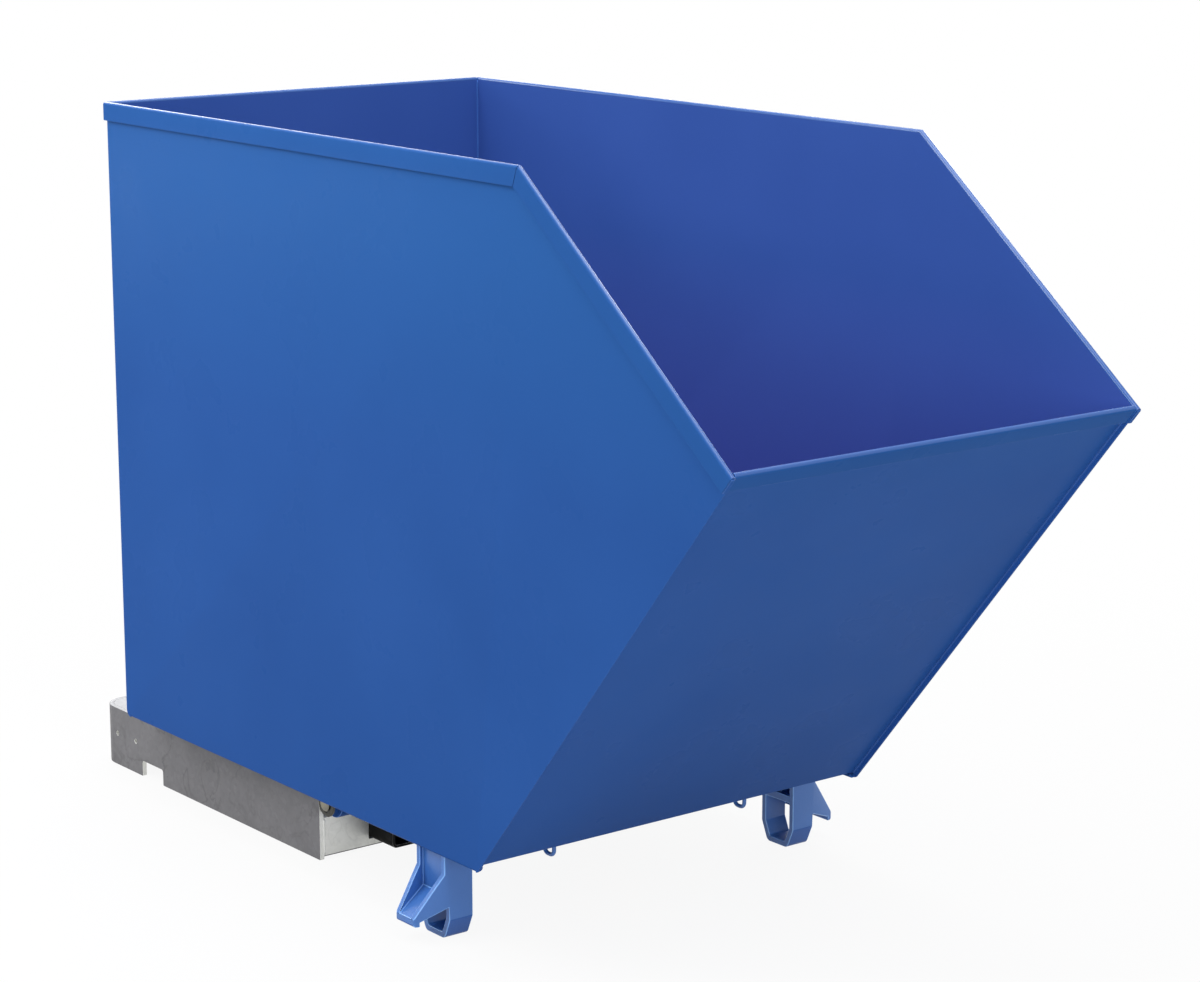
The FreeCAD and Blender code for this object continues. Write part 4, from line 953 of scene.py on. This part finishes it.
across, cheek, nut_height = 0.0272, 0.0145, 0.0104
corner, washer_face, shank, root, turn = 0.0157, 0.0128, 0.008, 0.0071, 0.0018
thread = cheek + nut_height
(x0, _, _), (x1, _, _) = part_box("latch_bolt")
profile = [(x0, 0.0105, True), (x0 + 0.0004, 0.0127, True), (x0 + 0.0018, corner, True),
           (-cheek - 0.0006, corner, True), (-cheek - 0.0005, washer_face, False), (-cheek, washer_face, False),
           (-cheek, shank, False), (thread, shank, False)]
for start in (thread + 0.0002, thread + 0.0002 + turn):
    profile += [(start, root, False), (start + 0.0009, shank, False), (start + 0.0017, root, False)]
profile += [(x1, 0.0066, False)]
piece("hook_bolt", hexagon(profile, across, latch), "chassis", "zinc_plate", [bright_zinc], "latch_bolt")
profile = [(cheek, washer_face, False), (cheek + 0.0005, washer_face, False), (cheek + 0.0006, corner, True),
           (thread - 0.0016, corner, True), (thread - 0.0002, 0.0130, True), (thread, 0.0105, True)]
yellow_zinc = zinc("yellow_zinc", (0.52, 0.44, 0.24), (0.45, 0.43, 0.35), 0.32)
piece("hook_nut", hexagon(profile, across, latch), "chassis", "zinc_plate", [yellow_zinc], "latch_nut")

# Studio: a plain pale floor that turns to white away from the object and keeps its shadow, white all
# round, and soft lamps on all sides, with a long strip behind that lines the rim.


def looked_at(tree):
    """1 for rays from the camera, also mirrored or through glass, and 0 for rays that light the object."""
    rays = tree.nodes.new("ShaderNodeLightPath")
    value = rays.outputs["Is Camera Ray"]
    for kind in ("Is Glossy Ray", "Is Transmission Ray"):
        either = tree.nodes.new("ShaderNodeMath")
        either.operation = "MAXIMUM"
        tree.links.new(value, either.inputs[0])
        tree.links.new(rays.outputs[kind], either.inputs[1])
        value = either.outputs[0]
    return value


reach = 30
floor_mesh = bpy.data.meshes.new("floor")
floor_mesh.from_pydata(rectangle(-reach, reach, -reach, reach, 0), [], [(0, 1, 2, 3)])
floor = bpy.data.objects.new("floor", floor_mesh)
bpy.context.scene.collection.objects.link(floor)
pale, tree, shader = finish("pale_floor", (0.55, 0.55, 0.55), 0.9)
floor_mesh.materials.append(pale)
white = tree.nodes.new("ShaderNodeEmission")
white.inputs["Strength"].default_value = 1.0
place = tree.nodes.new("ShaderNodeTexCoord")
distance = tree.nodes.new("ShaderNodeVectorMath")
distance.operation = "LENGTH"
tree.links.new(place.outputs["Object"], distance.inputs[0])
pureness = ranged(tree, distance.outputs["Value"], 1.0, 2.6, 0.92, 1.0)
outer = ranged(tree, distance.outputs["Value"], 0.6, 1.5)
tree.links.new(blended(tree, outer, (0.60, 0.60, 0.60), (0.55, 0.55, 0.55)), shader.inputs["Base Color"])
share = tree.nodes.new("ShaderNodeMath")
share.operation = "MULTIPLY"
tree.links.new(looked_at(tree), share.inputs[0])
tree.links.new(pureness, share.inputs[1])
mix = tree.nodes.new("ShaderNodeMixShader")
tree.links.new(share.outputs[0], mix.inputs[0])
tree.links.new(shader.outputs[0], mix.inputs[1])
tree.links.new(white.outputs[0], mix.inputs[2])
tree.links.new(mix.outputs[0], tree.nodes["Material Output"].inputs["Surface"])

world = bpy.data.worlds.new("studio")
bpy.context.scene.world = world
world.use_nodes = True
tree = world.node_tree
background = tree.nodes["Background"]
background.inputs["Color"].default_value = (1, 1, 1, 1)
surround = 0.42
tree.links.new(ranged(tree, looked_at(tree), 0, 1, surround, 1.0), background.inputs["Strength"])


def softbox(name, place, aim, size, power):
    """A large soft lamp at a place, turned to the point that it aims at."""
    lamp = bpy.data.lights.new(name, "AREA")
    lamp.shape = "RECTANGLE"
    lamp.size, lamp.size_y = size
    lamp.energy = power
    made = bpy.data.objects.new(name, lamp)
    made.location = place
    made.rotation_euler = (Vector(aim) - Vector(place)).to_track_quat("-Z", "Y").to_euler()
    made.visible_camera = False
    bpy.context.scene.collection.objects.link(made)


softbox("left_softbox", (-2.3, 0.6, 2.6), (0, 0, 0.9), (2.0, 2.0), 69)
softbox("top_softbox", (0.3, 0.2, 4.4), (0, 0, 0.6), (3.4, 3.4), 110)
softbox("front_softbox", (-1.5, -4.6, 1.3), (0, -0.2, 0.3), (3.0, 1.4), 64)
softbox("high_front_softbox", (-0.5, -2.9, 4.4), (0.2, 0.2, 0.6), (2.4, 2.4), 92)
softbox("back_strip_light", (0.8, 3.7, 2.35), (0.8, 0, 1.6), (6.4, 0.9), 100)
softbox("right_softbox", (3.7, 1.5, 2.25), (0, 0, 1.0), (1.7, 1.2), 40)
softbox("low_back_softbox", (-1.46, 2.44, 0.68), (-0.375, 0.55, 0.98), (1.3, 0.3), 3)

# Camera: a long lens at the photograph's place and angle, in front of the skip on its left, looking a little
# down.
pitch, heading = 12.476, 37.887
camera = bpy.data.cameras.new("camera")
camera.sensor_width = 36
camera.lens = 94.935
eye = bpy.data.objects.new("camera", camera)
eye.location = (-2.9347, back - 4.608687, 1.6810)
eye.rotation_euler = (radians(90 - pitch), 0, radians(-heading))
bpy.context.scene.collection.objects.link(eye)
bpy.context.scene.camera = eye
bpy.context.scene.view_settings.view_transform = "Standard"
